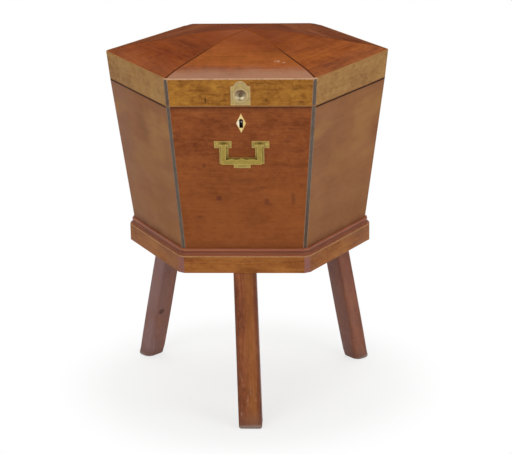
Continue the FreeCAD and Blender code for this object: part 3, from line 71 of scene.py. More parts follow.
# Places of a leg's foot are across and outwards from the middle; half sizes are at foot and top.
LEG_FEET = {
    "front": (0.007, 0.1933),
    "back_right": (0.0082, 0.2150),
    "back_left": (-0.0134, 0.2267),
}
LEG_TURNS = {"front": 0.0, "back_right": math.radians(12), "back_left": math.radians(-12)}
LEG_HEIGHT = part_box("base_rail_front")[0].z
LEG_TOP_REACH = 0.1603
LEG_HALF_WIDE = (0.0191, 0.01825)
LEG_HALF_DEEP = (0.0148, 0.0145)
TENON_RADIUS, TENON_LENGTH = 0.009, 0.02
# The corner of a back leg with the roundest foot, and the other corners' share of its radius.
LEG_RIDGES = {"back_left": 0, "back_right": 1}
OTHER_FOOT_EDGES = 0.55
# Shares of the height, and how far the foot's radii have turned into the leg's there.
LEG_SWELLS = ((0.06, 0.25), (0.12, 0.50), (0.22, 0.80), (0.35, 1.0))
LEG_FOOT_EASE = 0.005
LEG_STEPS = 6
LEG_SHARP_ANGLE = math.radians(40)
# Painted light on a back leg: share of a pale painted sheen on its faces turned inwards and
# outwards.
LEG_FACE_SHEEN = {"back_right": (0.85, 0.34), "back_left": (0.26, 1.0)}

# Facets closer than the first are merged, edges sharper than the second are eased.
FLAT_ANGLE, EASED_ANGLE = math.radians(0.4), math.radians(28)

SCREW_STEPS = 14
SCREW_EASE = 0.06
SAME_POINT = 1e-7

# Tint of a lid panel's wood, set panel by panel as painted light and shade for the way it faces,
# its painted shade towards the crown, and its gloss.
LID_PANELS = {
    "front": ((0.97, 0.97, 1.15), (0.207, 0.049, 0.012), 0.015),
    "front_left": ((0.77, 0.67, 0.68), (0.228, 0.054, 0.013), 0.006),
    "front_right": ((0.90, 0.90, 0.90), (0.172, 0.038, 0.010), 0.006),
}
REAR_LID_PANEL = ((0.68, 0.83, 1.80), (0.148, 0.043, 0.022), 0.0)

# Strength of the parts of a timber's figure, and its gloss.
CASE_FRONT = {
    "streaks": 0.45, "mottle": 0.75, "blotch": 0.60, "specks": 0.9,
    "contrast": 1.0, "specular": 0.06,
}
# The other boards keep little gloss, as their sheen is painted into their colour.
CASE_SIDE = {
    "streaks": 0.25, "mottle": 0.75, "blotch": 0.2, "specks": 0.35,
    "contrast": 0.55, "specular": 0.015,
}
BARE_BOARD = {"streaks": 1.0, "mottle": 0.6, "specular": 0.1}

TONES = {
    # Darker at the foot and head of the case boards: dirt and painted shade.
    "grime": (0.10, 0.026, 0.010),
    "warm foot": (0.240, 0.070, 0.016),
    "knot": (0.085, 0.022, 0.012),
    "golden case": (0.348, 0.176, 0.058),
    "dusky case": (0.190, 0.075, 0.028),
    "joint": (0.022, 0.009, 0.005),
    "golden leg": (0.290, 0.105, 0.020),
    "arris": (0.105, 0.036, 0.018),
    "scuff": (0.40, 0.23, 0.16),
    "worn foot": (0.150, 0.078, 0.056),
    "sole": (0.265, 0.205, 0.175),
    "leg knot": (0.055, 0.022, 0.018),
    # Painted sheen along the outer edge of the lid panels.
    "sheen": (0.352, 0.187, 0.114),
    "golden lid": (0.335, 0.108, 0.014),
    "nick": (0.66, 0.46, 0.38),
    "scratch": (0.075, 0.026, 0.010),
    # Painted sheen on the base's facets across the corners.
    "corner bloom": (0.240, 0.104, 0.098),
    "faded base": (0.265, 0.118, 0.062),
    # Painted shade in the moulding's hollow.
    "wax": (0.05, 0.014, 0.008),
    # Painted shade behind the keyhole and a painted glint on its pin.
    "keyhole": (0.012, 0.009, 0.009),
    "pin glint": (0.90, 0.76, 0.86),
    # Painted reflection in the pull's dish, with a painted highlight at its foot.
    "dish": (0.330, 0.220, 0.130),
    "dish highlight": (0.500, 0.420, 0.255),
    "rust": (0.16, 0.075, 0.035),
    "brown ebony": (0.095, 0.058, 0.036),
    "hip": (0.036, 0.016, 0.010),
    "pore": (0.02, 0.014, 0.010),
    "stain": (0.09, 0.045, 0.022),
    # Painted highlight on the left half of the bone lozenge.
    "bone highlight": (0.84, 0.76, 0.58),
    "yellow bone": (0.62, 0.43, 0.110),
    "bone rim": (0.50, 0.29, 0.05),
}

# Marks on upright faces: across, up, half width, half height and strength.
FRONT_KNOTS = (
    (-0.038, 0.3895, 0.0070, 0.0060, 0.66),
    (0.0375, 0.3840, 0.0062, 0.0066, 0.52),
    (0.0410, 0.3790, 0.0100, 0.0030, 0.34),
    (0.0800, 0.3880, 0.0050, 0.0150, 0.40),
    (-0.060, 0.4450, 0.0044, 0.0048, 0.50),
    (-0.068, 0.4400, 0.0056, 0.0026, 0.30),
    (0.0060, 0.4180, 0.0240, 0.0090, 0.22),
    (0.0300, 0.4080, 0.0150, 0.0040, 0.22),
    (-0.106, 0.487, 0.0016, 0.0090, 0.40),
    (-0.100, 0.495, 0.0060, 0.0020, 0.36),
    (-0.110, 0.478, 0.0052, 0.0020, 0.34),
    (-0.072, 0.470, 0.0044, 0.0034, 0.40),
    (0.072, 0.486, 0.0080, 0.0030, 0.36),
    (0.094, 0.470, 0.0050, 0.0036, 0.30),
    (-0.070, 0.357, 0.0054, 0.0040, 0.38),
    (0.014, 0.402, 0.0200, 0.0050, 0.20),
)
RAIL_SCRATCHES = (
    (-0.0550, 0.5545, 0.0015, 0.0085, 0.95),
    (-0.0590, 0.5570, 0.0040, 0.0012, 0.55),
    (-0.030, 0.576, 0.0090, 0.0016, 0.45),
    (0.085, 0.572, 0.0070, 0.0030, 0.40),
    (0.094, 0.551, 0.0080, 0.0024, 0.40),
)
# Nicks on the lid: across, back, half width and half depth.
LID_NICKS = ((0.0555, -0.147, 0.0062, 0.0046), (0.0665, -0.1515, 0.0036, 0.0028))


# ---------------------------------------------------------------- sizes and colours to change

def colour_setting(name, default, description):
    """Colour that the sidebar shows."""
    return FloatVectorProperty(
        name=name, description=description, default=default,
        subtype="COLOR", size=3, min=0, max=1,
    )


def length_setting(name, default, description):
    """Length that the sidebar shows."""
    return FloatProperty(
        name=name, description=description, default=default,
        subtype="DISTANCE", unit="LENGTH", min=0, precision=5,
    )


def share_setting(name, default, description, high=1.0):
    """Plain number that the sidebar shows."""
    return FloatProperty(name=name, description=description, default=default, min=0, max=high)


def angle_setting(name, degrees, description):
    """Angle that the sidebar shows."""
    turn = math.radians(degrees)
    return FloatProperty(name=name, description=description, default=turn, subtype="ANGLE")


def power_setting(name, default, description):
    """Power of a lamp that the sidebar shows."""
    return FloatProperty(name=name, description=description, default=default, unit="POWER")


class CellaretteFinish(bpy.types.PropertyGroup):
    """Colours of the timbers, the metals and the bone"""

    case_wood: colour_setting("Case mahogany", (0.218, 0.060, 0.0165), "Front board of the case")
    # Paler and greyer than the front board: a painted sheen in the colour of the other boards.
    side_wood: colour_setting("Side mahogany with painted sheen", (0.262, 0.110, 0.045), "Other boards of the case")
    lid_wood: colour_setting("Lid mahogany", (0.255, 0.063, 0.013), "Curved panels of the lid")
    rail_wood: colour_setting("Lid rail wood", (0.290, 0.116, 0.019), "Front rail of the lid")
    # Paler and greyer than the front rail: a painted sheen in the colour of the other rails.
    side_rail_wood: colour_setting("Side rail wood with painted sheen", (0.330, 0.172, 0.060), "Lid's other rails")
    base_wood: colour_setting("Base mahogany", (0.256, 0.085, 0.020), "Lipping round the base")
    moulding_wood: colour_setting("Moulding mahogany", (0.276, 0.082, 0.036), "Foot's moulding")
    leg_wood: colour_setting("Leg mahogany", (0.208, 0.060, 0.022), "Legs")
    # Pale greyish tone used as a painted sheen on the back legs and the other case boards.
    bloom: colour_setting("Painted sheen", (0.235, 0.135, 0.125), "Greyish bloom on back legs and corners")
    inner_wood: colour_setting("Inner wood", (0.300, 0.150, 0.062), "Bottom and bottle dividers")
    # Greyed by old dust and by a painted sheen.
    ebony: colour_setting("Ebony", (0.125, 0.098, 0.078), "Dark corner bands")
    boxwood: colour_setting("Boxwood", (0.400, 0.235, 0.110), "Pale lines")
    brass: colour_setting("Brass", (0.352, 0.258, 0.054), "Handles, pull, lock and hinges")
    steel: colour_setting("Steel", (0.300, 0.280, 0.250), "Bolt and pins")
    bone: colour_setting("Bone", (0.760, 0.600, 0.260), "Lozenge round the keyhole")
    figure: share_setting("Figure", 1.0, "Strength of the grain and the mottle", 2.0)
    wear: share_setting("Wear", 1.0, "Strength of rubbed edges, specks and dirt", 2.0)


class CellaretteFittings(bpy.types.PropertyGroup):
    """Sizes of the slotted screws and the softened edges"""

    slot_half: length_setting("Slot half width", 0.00030, "Half the width of a screw's slot")
    slot_depth: length_setting("Slot depth", 0.00070, "Depth of a screw's slot")
    leg_edge: length_setting("Back leg edge", 0.0040, "Radius of the long edges of the back legs")
    front_leg_edge: length_setting("Front leg edge", 0.0026, "Radius of the front leg's long edges")
    foot_edge: length_setting("Back foot edge", 0.0125, "Radius of the back legs' edges at foot")
    brass_edge: length_setting("Brass edge", 0.00028, "Softening of the edges of the brass")
    wood_edge: length_setting("Wood edge", 0.00050, "Softening of the inner boards' edges")


class CellaretteStudio(bpy.types.PropertyGroup):
    """Camera, floor and lamps"""

    lens: FloatProperty(
        name="Lens", description="Focal length for a sensor 36 mm wide",
        default=128.28, min=1, unit="CAMERA",
    )
    distance: length_setting("Distance", 3.1056, "From the camera to the point it looks at")
    look_height: length_setting("Look height", 0.2823, "Height of the point it looks at")
    look_across: length_setting("Look across", 0.0064, "That point's place to the right")
    elevation: angle_setting("Elevation", 17.99, "Camera above the level")
    azimuth: angle_setting("Azimuth", 3.0, "Camera round to the right of the front")
    roll: angle_setting("Roll", -0.93, "Camera's tilt to the side")
    shift: FloatProperty(name="Shift", description="Sideways shift of the frame", default=0.005)
    floor_half: length_setting("Floor", 9.0, "Half the width of the floor")
    floor_tone: share_setting("Floor tone", 0.90, "Paleness of the floor")
    ambient: share_setting("Ambient", 0.38, "Soft light from all round", 4.0)
    key_power: power_setting("Front lamp", 44, "Power of the lamp before the front")
    fill_power: power_setting("Side lamp", 40, "Power of the lamp to the right")
    top_power: power_setting("Top lamp", 34, "Power of the lamp overhead")


# ---------------------------------------------------------------- shader nodes

class NodeSketch:
    """Adds nodes to a tree; an input is a socket or a plain value."""

    def __init__(self, tree):
        self.tree = tree

    def add(self, kind, inputs=None, **settings):
        """New node with its settings and inputs."""
        node = self.tree.nodes.new(kind)
        for name, setting in settings.items():
            setattr(node, name, setting)
        for key, entry in (inputs or {}).items():
            self.put(node.inputs[key], entry)
        return node

    def put(self, socket, entry):
        """Link a socket, or set its plain value."""
        if isinstance(entry, bpy.types.NodeSocket):
            self.tree.links.new(entry, socket)
        elif socket.type == "RGBA" and len(entry) == 3:
            socket.default_value = (*entry, 1)
        else:
            socket.default_value = entry

    def math(self, operation, first, second=0.0):
        """Sum, product or the like of two numbers."""
        node = self.add("ShaderNodeMath", operation=operation)
        self.put(node.inputs[0], first)
        self.put(node.inputs[1], second)
        return node.outputs[0]

    def times(self, first, second):
        """Product of two numbers."""
        return self.math("MULTIPLY", first, second)

    def swing(self, share):
        """Share from 0 to 1 carried to a swing about 0."""
        return self.math("SUBTRACT", share, 0.5)

    def point(self, kind="Object"):
        """Place of a point, or with Normal the direction of the face there."""
        return self.add("ShaderNodeTexCoord").outputs[kind]

    def placed(self, vector, location=(0, 0, 0), rotation=(0, 0, 0), scale=(1, 1, 1), kind="POINT"):
        """Vector moved, turned and stretched."""
        inputs = {"Vector": vector, "Location": location, "Rotation": rotation, "Scale": scale}
        return self.add("ShaderNodeMapping", inputs, vector_type=kind).outputs["Vector"]

    def parts(self, vector):
        """The three numbers of a vector."""
        node = self.add("ShaderNodeSeparateXYZ", {"Vector": vector})
        return node.outputs["X"], node.outputs["Y"], node.outputs["Z"]

    def joined(self, *numbers):
        """Vector of three numbers."""
        inputs = dict(zip("XYZ", numbers))
        return self.add("ShaderNodeCombineXYZ", inputs).outputs["Vector"]

    def length(self, vector):
        """Length of a vector."""
        return self.add("ShaderNodeVectorMath", {0: vector}, operation="LENGTH").outputs["Value"]

    def likeness(self, first, second):
        """Cosine of the angle between two directions."""
        inputs = {0: first, 1: second}
        return self.add("ShaderNodeVectorMath", inputs, operation="DOT_PRODUCT").outputs["Value"]

    def noise(self, vector, scale, detail=3.0, rough=0.55, distortion=0.0):
        """Soft noise from 0 to 1."""
        inputs = {
            "Vector": vector, "Scale": scale, "Detail": detail,
            "Roughness": rough, "Distortion": distortion,
        }
        return self.add("ShaderNodeTexNoise", inputs).outputs["Fac"]

    def grain(self, vector, scale, *settings):
        """Noise with its own scale along each axis."""
        return self.noise(self.placed(vector, scale=scale), 1.0, *settings)

    def cells(self, vector, scale):
        """Distance to the nearest of many scattered points."""
        inputs = {"Vector": vector, "Scale": scale}
        return self.add("ShaderNodeTexVoronoi", inputs).outputs["Distance"]

    def span(self, number, low, high, to_low=0.0, to_high=1.0, smooth=True):
        """Number carried from one range to another, and held at its ends."""
        inputs = {
            "Value": number, "From Min": low, "From Max": high,
            "To Min": to_low, "To Max": to_high,
        }
        kind = "SMOOTHSTEP" if smooth else "LINEAR"
        return self.add("ShaderNodeMapRange", inputs, interpolation_type=kind).outputs["Result"]

    def between(self, number, low, high, low_end, high_end):
        """1 between high and high_end, falling to 0 at low and low_end."""
        return self.times(self.span(number, low, high), self.span(number, low_end, high_end))

    def spot(self, vector, centre, radii, soft=0.6):
        """1 in the middle of an oval at a place, falling to 0 at its rim."""
        shifted = self.placed(vector, location=centre, scale=radii, kind="TEXTURE")
        return self.span(self.length(shifted), 1.0, 1.0 - soft)

    def blend(self, amount, first, second):
        """Mix of two colours."""
        node = self.add("ShaderNodeMix", data_type="RGBA")
        self.put(node.inputs[0], amount)
        self.put(node.inputs[6], first)
        self.put(node.inputs[7], second)
        return node.outputs[2]

    def tint(self, colour, *steps):
        """Colour turned to one tone after another; a step is a tone and factors of its share."""
        for tone, share, *factors in steps:
            for factor in factors:
                share = self.times(share, factor)
            colour = self.blend(share, colour, colour_of(tone) if isinstance(tone, str) else tone)
        return colour


def new_material(name):
    """Empty material, its sketch, its surface shader and the place coordinates."""
    material = bpy.data.materials.new(name)
    material.use_nodes = True
    material.node_tree.nodes.clear()
    sketch = NodeSketch(material.node_tree)
    shader = sketch.add("ShaderNodeBsdfPrincipled")
    output = sketch.add("ShaderNodeOutputMaterial")
    sketch.put(output.inputs["Surface"], shader.outputs["BSDF"])
    return material, sketch, shader, sketch.point()


def surface(sketch, shader, colour, rough, height, bump, deep=0.0002, specular=0.5, metallic=0.0):
    """Set the shader's colour, roughness, bump, specular level and metal share."""
    inputs = {"Height": height, "Strength": bump, "Distance": deep}
    normal = sketch.add("ShaderNodeBump", inputs).outputs["Normal"]
    for label, entry in (
        ("Base Color", colour), ("Roughness", rough), ("Normal", normal),
        ("Specular IOR Level", specular), ("Metallic", metallic),
    ):
        sketch.put(shader.inputs[label], entry)


def middle_of(node):
    """Middle of a CAD node's box."""
    low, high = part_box(node)
    return (low + high) / 2


def piece_frame(turn, lean=0.0):
    """Euler angles of a piece's own frame: x along its grain."""
    return (Matrix.Rotation(turn, 3, "Z") @ Matrix.Rotation(lean, 3, "X")).to_euler()


def leg_frame(name):
    """Middle of a leg's foot, and Euler angles of its frame: x up the leg, y across, z inwards."""
    aside, reach = LEG_FEET[name]
    turn = Matrix.Rotation(SIDE_TURNS[name], 3, "Z")
    up = Vector((-aside, reach - LEG_TOP_REACH, LEG_HEIGHT)).normalized()
    wide = Vector((math.cos(LEG_TURNS[name]), math.sin(LEG_TURNS[name]), 0))
    across = (wide - up * up.dot(wide)).normalized()
    own = Matrix((up, across, up.cross(across))).transposed()
    return turn @ Vector((aside, -reach, 0)), (turn @ own).to_euler()


def timber_group():
    """Node group that draws mahogany: x runs along the grain, in metres."""
    name = "Timber figure"
    if name in bpy.data.node_groups:
        return bpy.data.node_groups[name]
    group = bpy.data.node_groups.new(name, "ShaderNodeTree")
    for kind, labels in (
        ("Vector", ("Vector",)),
        ("Color", ("Dark", "Middle", "Pale")),
        ("Float", ("Streaks", "Mottle", "Blotch", "Ribbon", "Specks")),
    ):
        for label in labels:
            group.interface.new_socket(label, in_out="INPUT", socket_type=f"NodeSocket{kind}")
    for kind, label in (("Color", "Color"), ("Float", "Polish"), ("Float", "Height")):
        group.interface.new_socket(label, in_out="OUTPUT", socket_type=f"NodeSocket{kind}")
    sketch = NodeSketch(group)
    given = sketch.add("NodeGroupInput").outputs
    vector = given["Vector"]

    lift = sketch.times(sketch.swing(sketch.grain(vector, (3, 9, 9), 2.0)), 0.020)
    inputs = {0: vector, 1: sketch.joined(0.0, lift, lift)}
    wavy = sketch.add("ShaderNodeVectorMath", inputs, operation="ADD").outputs["Vector"]
    streak = sketch.grain(wavy, (14, 330, 330), 4.0, 0.65)
    fine = sketch.grain(wavy, (60, 1500, 1500), 2.0, 0.6)
    pores = sketch.span(sketch.cells(sketch.placed(wavy, scale=(110, 1300, 1300)), 1.0), 0.20, 0.05)
    flecks = sketch.times(
        sketch.span(sketch.cells(sketch.placed(wavy, scale=(26, 62, 62)), 1.0), 0.17, 0.04),
        sketch.span(sketch.grain(vector, (9, 13, 13), 2.0), 0.52, 0.66),
    )

    tone = 0.0
    for figure, strength, amount in (
        (sketch.grain(wavy, (5, 60, 60), 3.0, 0.6), "Streaks", 1.3),
        (streak, "Streaks", 1.5),
        (sketch.grain(vector, (11, 16, 16), 4.0, 0.6), "Mottle", 1.8),
        (sketch.grain(vector, (85, 150, 150), 5.0, 0.72, 0.5), "Blotch", 2.4),
        (sketch.grain(vector, (75, 10, 10), 3.0, 0.55, 0.3), "Ribbon", 1.6),
    ):
        swing = sketch.times(sketch.swing(figure), given[strength])
        tone = sketch.math("ADD", tone, sketch.times(swing, amount))
    hair = sketch.times(sketch.swing(fine), 0.35)
    tone = sketch.math("ADD", tone, sketch.times(hair, given["Streaks"]))
    colour = sketch.tint(
        given["Middle"],
        (given["Dark"], sketch.span(tone, 0.0, -0.55, smooth=False)),
        (given["Pale"], sketch.span(tone, 0.0, 0.55, smooth=False)),
        (given["Dark"], flecks, given["Specks"], 0.75),
        (given["Dark"], pores, given["Streaks"], 0.55),
    )
    polish = sketch.span(sketch.grain(vector, (8, 22, 22)), 0.3, 0.7, 0.36, 0.52)
    sketch.add("NodeGroupOutput", {
        "Color": colour,
        "Polish": sketch.math("ADD", polish, sketch.times(pores, 0.12)),
        "Height": sketch.math("SUBTRACT", sketch.times(streak, 0.6), sketch.times(pores, 0.5)),
    })
    return group


def colour_of(name):
    """Colour with a name, among the fixed tones or the settings."""
    return TONES.get(name) or tuple(getattr(bpy.context.scene.cellarette_finish, name))


def hued(colour, *factors):
    """Colour with its channels made darker or paler, all alike if there is one factor."""
    factors = factors * 3 if len(factors) == 1 else factors
    return tuple(min(channel * factor, 1) for channel, factor in zip(colour, factors))


def timber(node, label, wood, side="", angles=(0, 0, 0), origin=(0, 0, 0), hue=(1,), dirt=None,
           streaks=1.0, mottle=0.5, ribbon=0.0, blotch=0.0, specks=0.0, contrast=1.0, specular=0.2):
    """Dress a node in waxed timber; dirt is a function that works wear, and on some pieces painted
    light and shade, into its colour.
    """
    finish = bpy.context.scene.cellarette_finish
    material, sketch, shader, place = new_material(f"{label} {side}".strip())
    local = sketch.placed(place, location=origin, rotation=angles, kind="TEXTURE")
    colour = hued(colour_of(wood), *hue)
    strength = finish.figure * contrast
    figure = sketch.add("ShaderNodeGroup", {
        "Vector": local,
        "Dark": hued(colour, 0.50, 0.42, 0.42),
        "Middle": colour,
        "Pale": hued(colour, 1.36, 1.56, 1.50),
        "Streaks": streaks * strength,
        "Mottle": mottle * strength,
        "Blotch": blotch * strength,
        "Ribbon": ribbon * strength,
        "Specks": specks * finish.wear,
    }, node_tree=timber_group()).outputs
    tone = figure["Color"]
    if dirt:
        tone = dirt(sketch, place, local, tone, side)
    surface(sketch, shader, tone, figure["Polish"], figure["Height"], 0.10, 0.0004, specular)
    dress(material, f"{node}_{side}" if side else node)
    return material


def dress(material, *nodes):
    """Give CAD nodes their material."""
    for node in nodes:
        mesh = NODES[node].data
        mesh.materials.clear()
        mesh.materials.append(material)


def soften(node, width):
    """Merge the flat facets of a CAD node and ease its sharp edges."""
    piece = NODES[node]
    flat = piece.modifiers.new("Flat faces", "DECIMATE")
    flat.decimate_type = "DISSOLVE"
    flat.angle_limit = FLAT_ANGLE
    ease = piece.modifiers.new("Eased edges", "BEVEL")
    ease.width = width
    ease.segments = 2
    ease.limit_method = "ANGLE"
    ease.angle_limit = EASED_ANGLE


# ---------------------------------------------------------------- dirt, wear, marks and painted light and shade

def facing(sketch, side):
    """1 on faces that look straight out from a side, 0 square to them."""
    turn = SIDE_TURNS[side]
    return sketch.likeness(sketch.point("Normal"), (math.sin(turn), -math.cos(turn), 0.0))


def side_place(sketch, place, side):
    """Place in a side's own frame: x along the side, y inwards."""
    return sketch.placed(place, rotation=piece_frame(SIDE_TURNS[side]), kind="TEXTURE")


def ovals(sketch, place, marks, depth, tone):
    """Steps of a tint for marks on an upright face whose middle is at a depth."""
    return [
        (tone, sketch.spot(place, (across, depth, up), (wide, 0.2, tall)), amount)
        for across, up, wide, tall, amount in marks
    ]


def case_dirt_and_light(sketch, place, local, colour, side):
    """Darker at a board's foot and head (dirt and painted shade), a dark joint under the lid, knots
    or faded patches with a painted sheen.
    """
    front = side == "front"
    height = sketch.parts(place)[2]
    # Darker at the foot by the moulding and at the head under the lid: dirt and painted shade.
    foot = sketch.span(height, MOULDING_HIGH + 0.016, MOULDING_HIGH)
    head = sketch.times(sketch.span(height, RIM - 0.012, RIM), 1.0 if front else 0.3)
    steps = [("grime", sketch.math("MAXIMUM", foot, head), sketch.noise(place, 38.0))]
    if front:
        steps += [("warm foot", sketch.span(height, 0.50, 0.38), 0.40)]
        steps += ovals(sketch, place, FRONT_KNOTS, -0.19, "knot")
    else:
        own = side_place(sketch, place, side)
        left = sketch.span(sketch.parts(own)[0], 0.02, -0.10)
        golden = sketch.span(sketch.grain(own, (8, 17, 20)), 0.44, 0.64)
        high = sketch.span(height, 0.38, 0.50, 0.25, 1.0)
        haze = sketch.grain(own, (14, 14, 5), 2.0)
        steps += [
            # Painted sheen, greyish, towards the left of the other boards, strongest on the front
            # left one.
            ("bloom", left, haze, 0.40 if side == "front_left" else 0.10),
            ("golden case", golden, high, 0.58),
        ]
    if side == "front_right":
        steps += [("dusky case", sketch.span(height, 0.40, 0.31), 0.22)]
    joint = sketch.span(height, RIM - 0.0032, RIM - 0.0020)
    outside = sketch.span(facing(sketch, side), 0.4, 0.7)
    return sketch.tint(colour, *steps, ("joint", joint, outside, 0.40 if front else 0.92))


def leg_light_and_wear(sketch, place, local, colour, side):
    """Painted sheen on a back leg, paler on one face than the other, or a golden streak; rubbed
    arrises, a scuffed foot and a knot for one leg.
    """
    along, across, deep = sketch.parts(local)
    patchy = sketch.span(sketch.grain(local, (16, 50, 50)), 0.25, 0.70, 0.55, 1.0)
    if side == "front":
        first = ("golden leg", sketch.between(across, -0.008, 0.006, 0.016, 0.010), 0.42)
    else:
        outer = sketch.likeness(sketch.point("Normal"), leg_outward(side))
        # Pale painted sheen, more on one face than the other, for the way the light falls.
        first = ("bloom", sketch.span(outer, -0.3, 0.3, *LEG_FACE_SHEEN[side]), patchy)
    short = []
    for part, half in ((across, LEG_HALF_WIDE), (deep, LEG_HALF_DEEP)):
        face = sketch.span(along, 0, LEG_HEIGHT, *half, smooth=False)
        short.append(sketch.math("SUBTRACT", sketch.math("ABSOLUTE", part), face))
    ragged = sketch.times(sketch.noise(local, 90.0), 0.003)
    nearest = sketch.math("ADD", sketch.math("MINIMUM", *short), ragged)
    scuffs = sketch.span(sketch.grain(local, (60, 220, 220), 2.0), 0.60, 0.70)
    colour = sketch.tint(
        colour,
        first,
        ("arris", sketch.span(nearest, -0.0055, -0.0003), 0.55 if side == "front" else 0.15),
        ("scuff", scuffs, sketch.span(along, 0.11, 0.0, 0.12, 1.0), 0.55),
        ("worn foot", sketch.span(along, 0.036, 0.004), patchy, 0.60),
        ("sole", sketch.span(along, 0.0075, 0.0035), 0.70),
    )
    if side == "back_left":
        knot = sketch.spot(local, (0.0995, 0.0070, 0.0148), (0.0075, 0.0095, 0.008))
        colour = sketch.tint(colour, ("leg knot", knot, 0.75))
    return colour


def leg_outward(side):
    """Level direction of the outer of the two faces that a back leg turns to the front."""
    turn = SIDE_TURNS[side] + LEG_TURNS[side]
    sense = 1 if side == "back_left" else -1
    return (sense * math.cos(turn), sense * math.sin(turn), 0.0)


def lid_light_and_marks(sketch, place, local, colour, side):
    """Painted sheen along a panel's outer edge and painted shade at its crown; a golden band and
    nicks in front.
    """
    own = side_place(sketch, place, side)
    inwards = sketch.parts(own)[1]
    ragged = sketch.times(sketch.swing(sketch.noise(own, 30.0, 4.0)), 0.030)
    edge = sketch.span(sketch.math("ADD", inwards, ragged), 0.046 - LID_REACH, 0.008 - LID_REACH)
    crown_shade = LID_PANELS.get(side, REAR_LID_PANEL)[1]
    steps = [
        # Painted sheen along the outer edge, strong on the front panel.
        ("sheen", edge, 0.72 if side == "front" else 0.10),
        # Painted shade towards the crown.
        (crown_shade, sketch.span(inwards, -0.145, -0.015), 0.85),
    ]
    if side == "front":
        steps += [("golden lid", sketch.between(inwards, -0.175, -0.140, -0.085, -0.125), 0.28)]
        upper = sketch.span(sketch.parts(sketch.point("Normal"))[2], 0.2, 0.5)
        chips = sketch.span(sketch.noise(place, 420.0), 0.42, 0.62)
        for across, back, wide, deep in LID_NICKS:
            spot = sketch.spot(place, (across, back, 0.6), (wide, deep, 0.2), 0.7)
            steps += [("nick", spot, upper, chips, 0.8)]
    return sketch.tint(colour, *steps)


def rail_marks(sketch, place, local, colour, side):
    """Dark old scratches and blots on the lid's front rail."""
    return sketch.tint(colour, *ovals(sketch, place, RAIL_SCRATCHES, -0.20, "scratch"))


def base_sheen_and_wear(sketch, place, local, colour, side):
    """Painted sheen, greyish, on the facets across the corners, and faded patches away from the
    front.
    """
    # Painted sheen on the facets turned across the corners.
    facet = sketch.between(facing(sketch, side), 0.96, 0.90, 0.5, 0.7)
    colour = sketch.tint(colour, ("corner bloom", facet, 0.75))
    if side == "front":
        return colour
    patch = sketch.span(sketch.grain(side_place(sketch, place, side), (9, 9, 30)), 0.42, 0.62)
    return sketch.tint(colour, ("faded base", patch, 0.35))


def moulding_hollow_shade(sketch, place, local, colour, side):
    """Painted shade in the hollow of the moulding."""
    middle = (MOULDING_LOW + MOULDING_HIGH) / 2
    hollow = sketch.between(sketch.parts(place)[2], middle - 0.004, middle, middle + 0.003, middle)
    return sketch.tint(colour, ("wax", hollow, 0.5))


# ---------------------------------------------------------------- metals, inlay and bone

def worn_mask(sketch, reach):
    """1 on outer edges and 0 on flats, from how the faces round a point turn."""
    rounded = sketch.add("ShaderNodeBevel", {"Radius": reach}, samples=6).outputs["Normal"]
    flat = sketch.add("ShaderNodeNewGeometry").outputs["Normal"]
    return sketch.span(sketch.likeness(rounded, flat), 0.995, 0.90)


def crevice_mask(sketch, reach):
    """1 deep in a corner or a gap and 0 in the open."""
    room = sketch.add("ShaderNodeAmbientOcclusion", {"Distance": reach}, samples=6).outputs["AO"]
    return sketch.span(room, 0.80, 0.35)


def old_brass(name, hue=(1,), rough=(0.34, 0.54), metallic=0.72, marks=None):
    """Rubbed brass with brown patina, dirt in the corners, bright edges and its own marks."""
    material, sketch, shader, place = new_material(name)
    patina = sketch.span(sketch.noise(place, 120.0, 4.0, 0.6), 0.40, 0.68)
    scratch = sketch.grain(place, (240, 900, 2600), 3.0, 0.6)
    colour = hued(colour_of("brass"), *hue)
    tone = sketch.tint(
        colour,
        (hued(colour, 0.605, 0.55, 0.495), patina, 0.45),
        (hued(colour, 0.35), sketch.span(sketch.cells(place, 420.0), 0.22, 0.08), 0.30),
        (hued(colour, 1.35), sketch.span(scratch, 0.55, 0.75, 0.0, 0.25)),
        (hued(colour, 0.46), crevice_mask(sketch, 0.003), 0.38),
        (hued(colour, 1.95, 1.90, 2.6), worn_mask(sketch, 0.0017), 0.80),
    )
    if marks:
        tone = marks(sketch, place, tone)
    rough = sketch.span(patina, 0.0, 1.0, *rough)
    surface(sketch, shader, tone, rough, scratch, 0.08, metallic=metallic)
    return material


def keyhole_shade_and_glint(sketch, place, colour):
    """Painted shade, black, behind the keyhole, round a painted glint on its pin."""
    middle = middle_of("keyhole_escutcheon")
    pin = (middle.x, middle.y, RIM - KEYHOLE_DROP)
    return sketch.tint(
        colour,
        ("keyhole", sketch.spot(place, middle, (0.009, 0.06, 0.013), 0.2)),
        ("pin glint", sketch.spot(place, pin, (0.0013, 0.06, 0.0013), 0.3)),
    )


def dish_reflection(sketch, place, colour):
    """Painted reflection inside the pull's round dish: brown, with a paler painted highlight at its
    foot.
    """
    middle = middle_of("lid_pull_knob")
    low = sketch.span(sketch.parts(place)[2], middle.z + 0.005, middle.z - 0.004)
    brown = sketch.tint(TONES["dish"], ("dish highlight", low))
    dish = sketch.spot(place, middle, (0.0108, 0.06, 0.0108), 0.35)
    return sketch.tint(colour, (brown, dish, 0.90))


def dull_steel(name):
    """Drawn steel with a little rust."""
    material, sketch, shader, place = new_material(name)
    rust = sketch.span(sketch.noise(place, 260.0, 4.0), 0.52, 0.70)
    tone = sketch.tint(colour_of("steel"), ("rust", rust, 0.6))
    rough = sketch.span(rust, 0.0, 1.0, 0.30, 0.60)
    lines = sketch.grain(place, (300, 2400, 2400), 2.0)
    surface(sketch, shader, tone, rough, lines, 0.06, metallic=1.0)
    return material


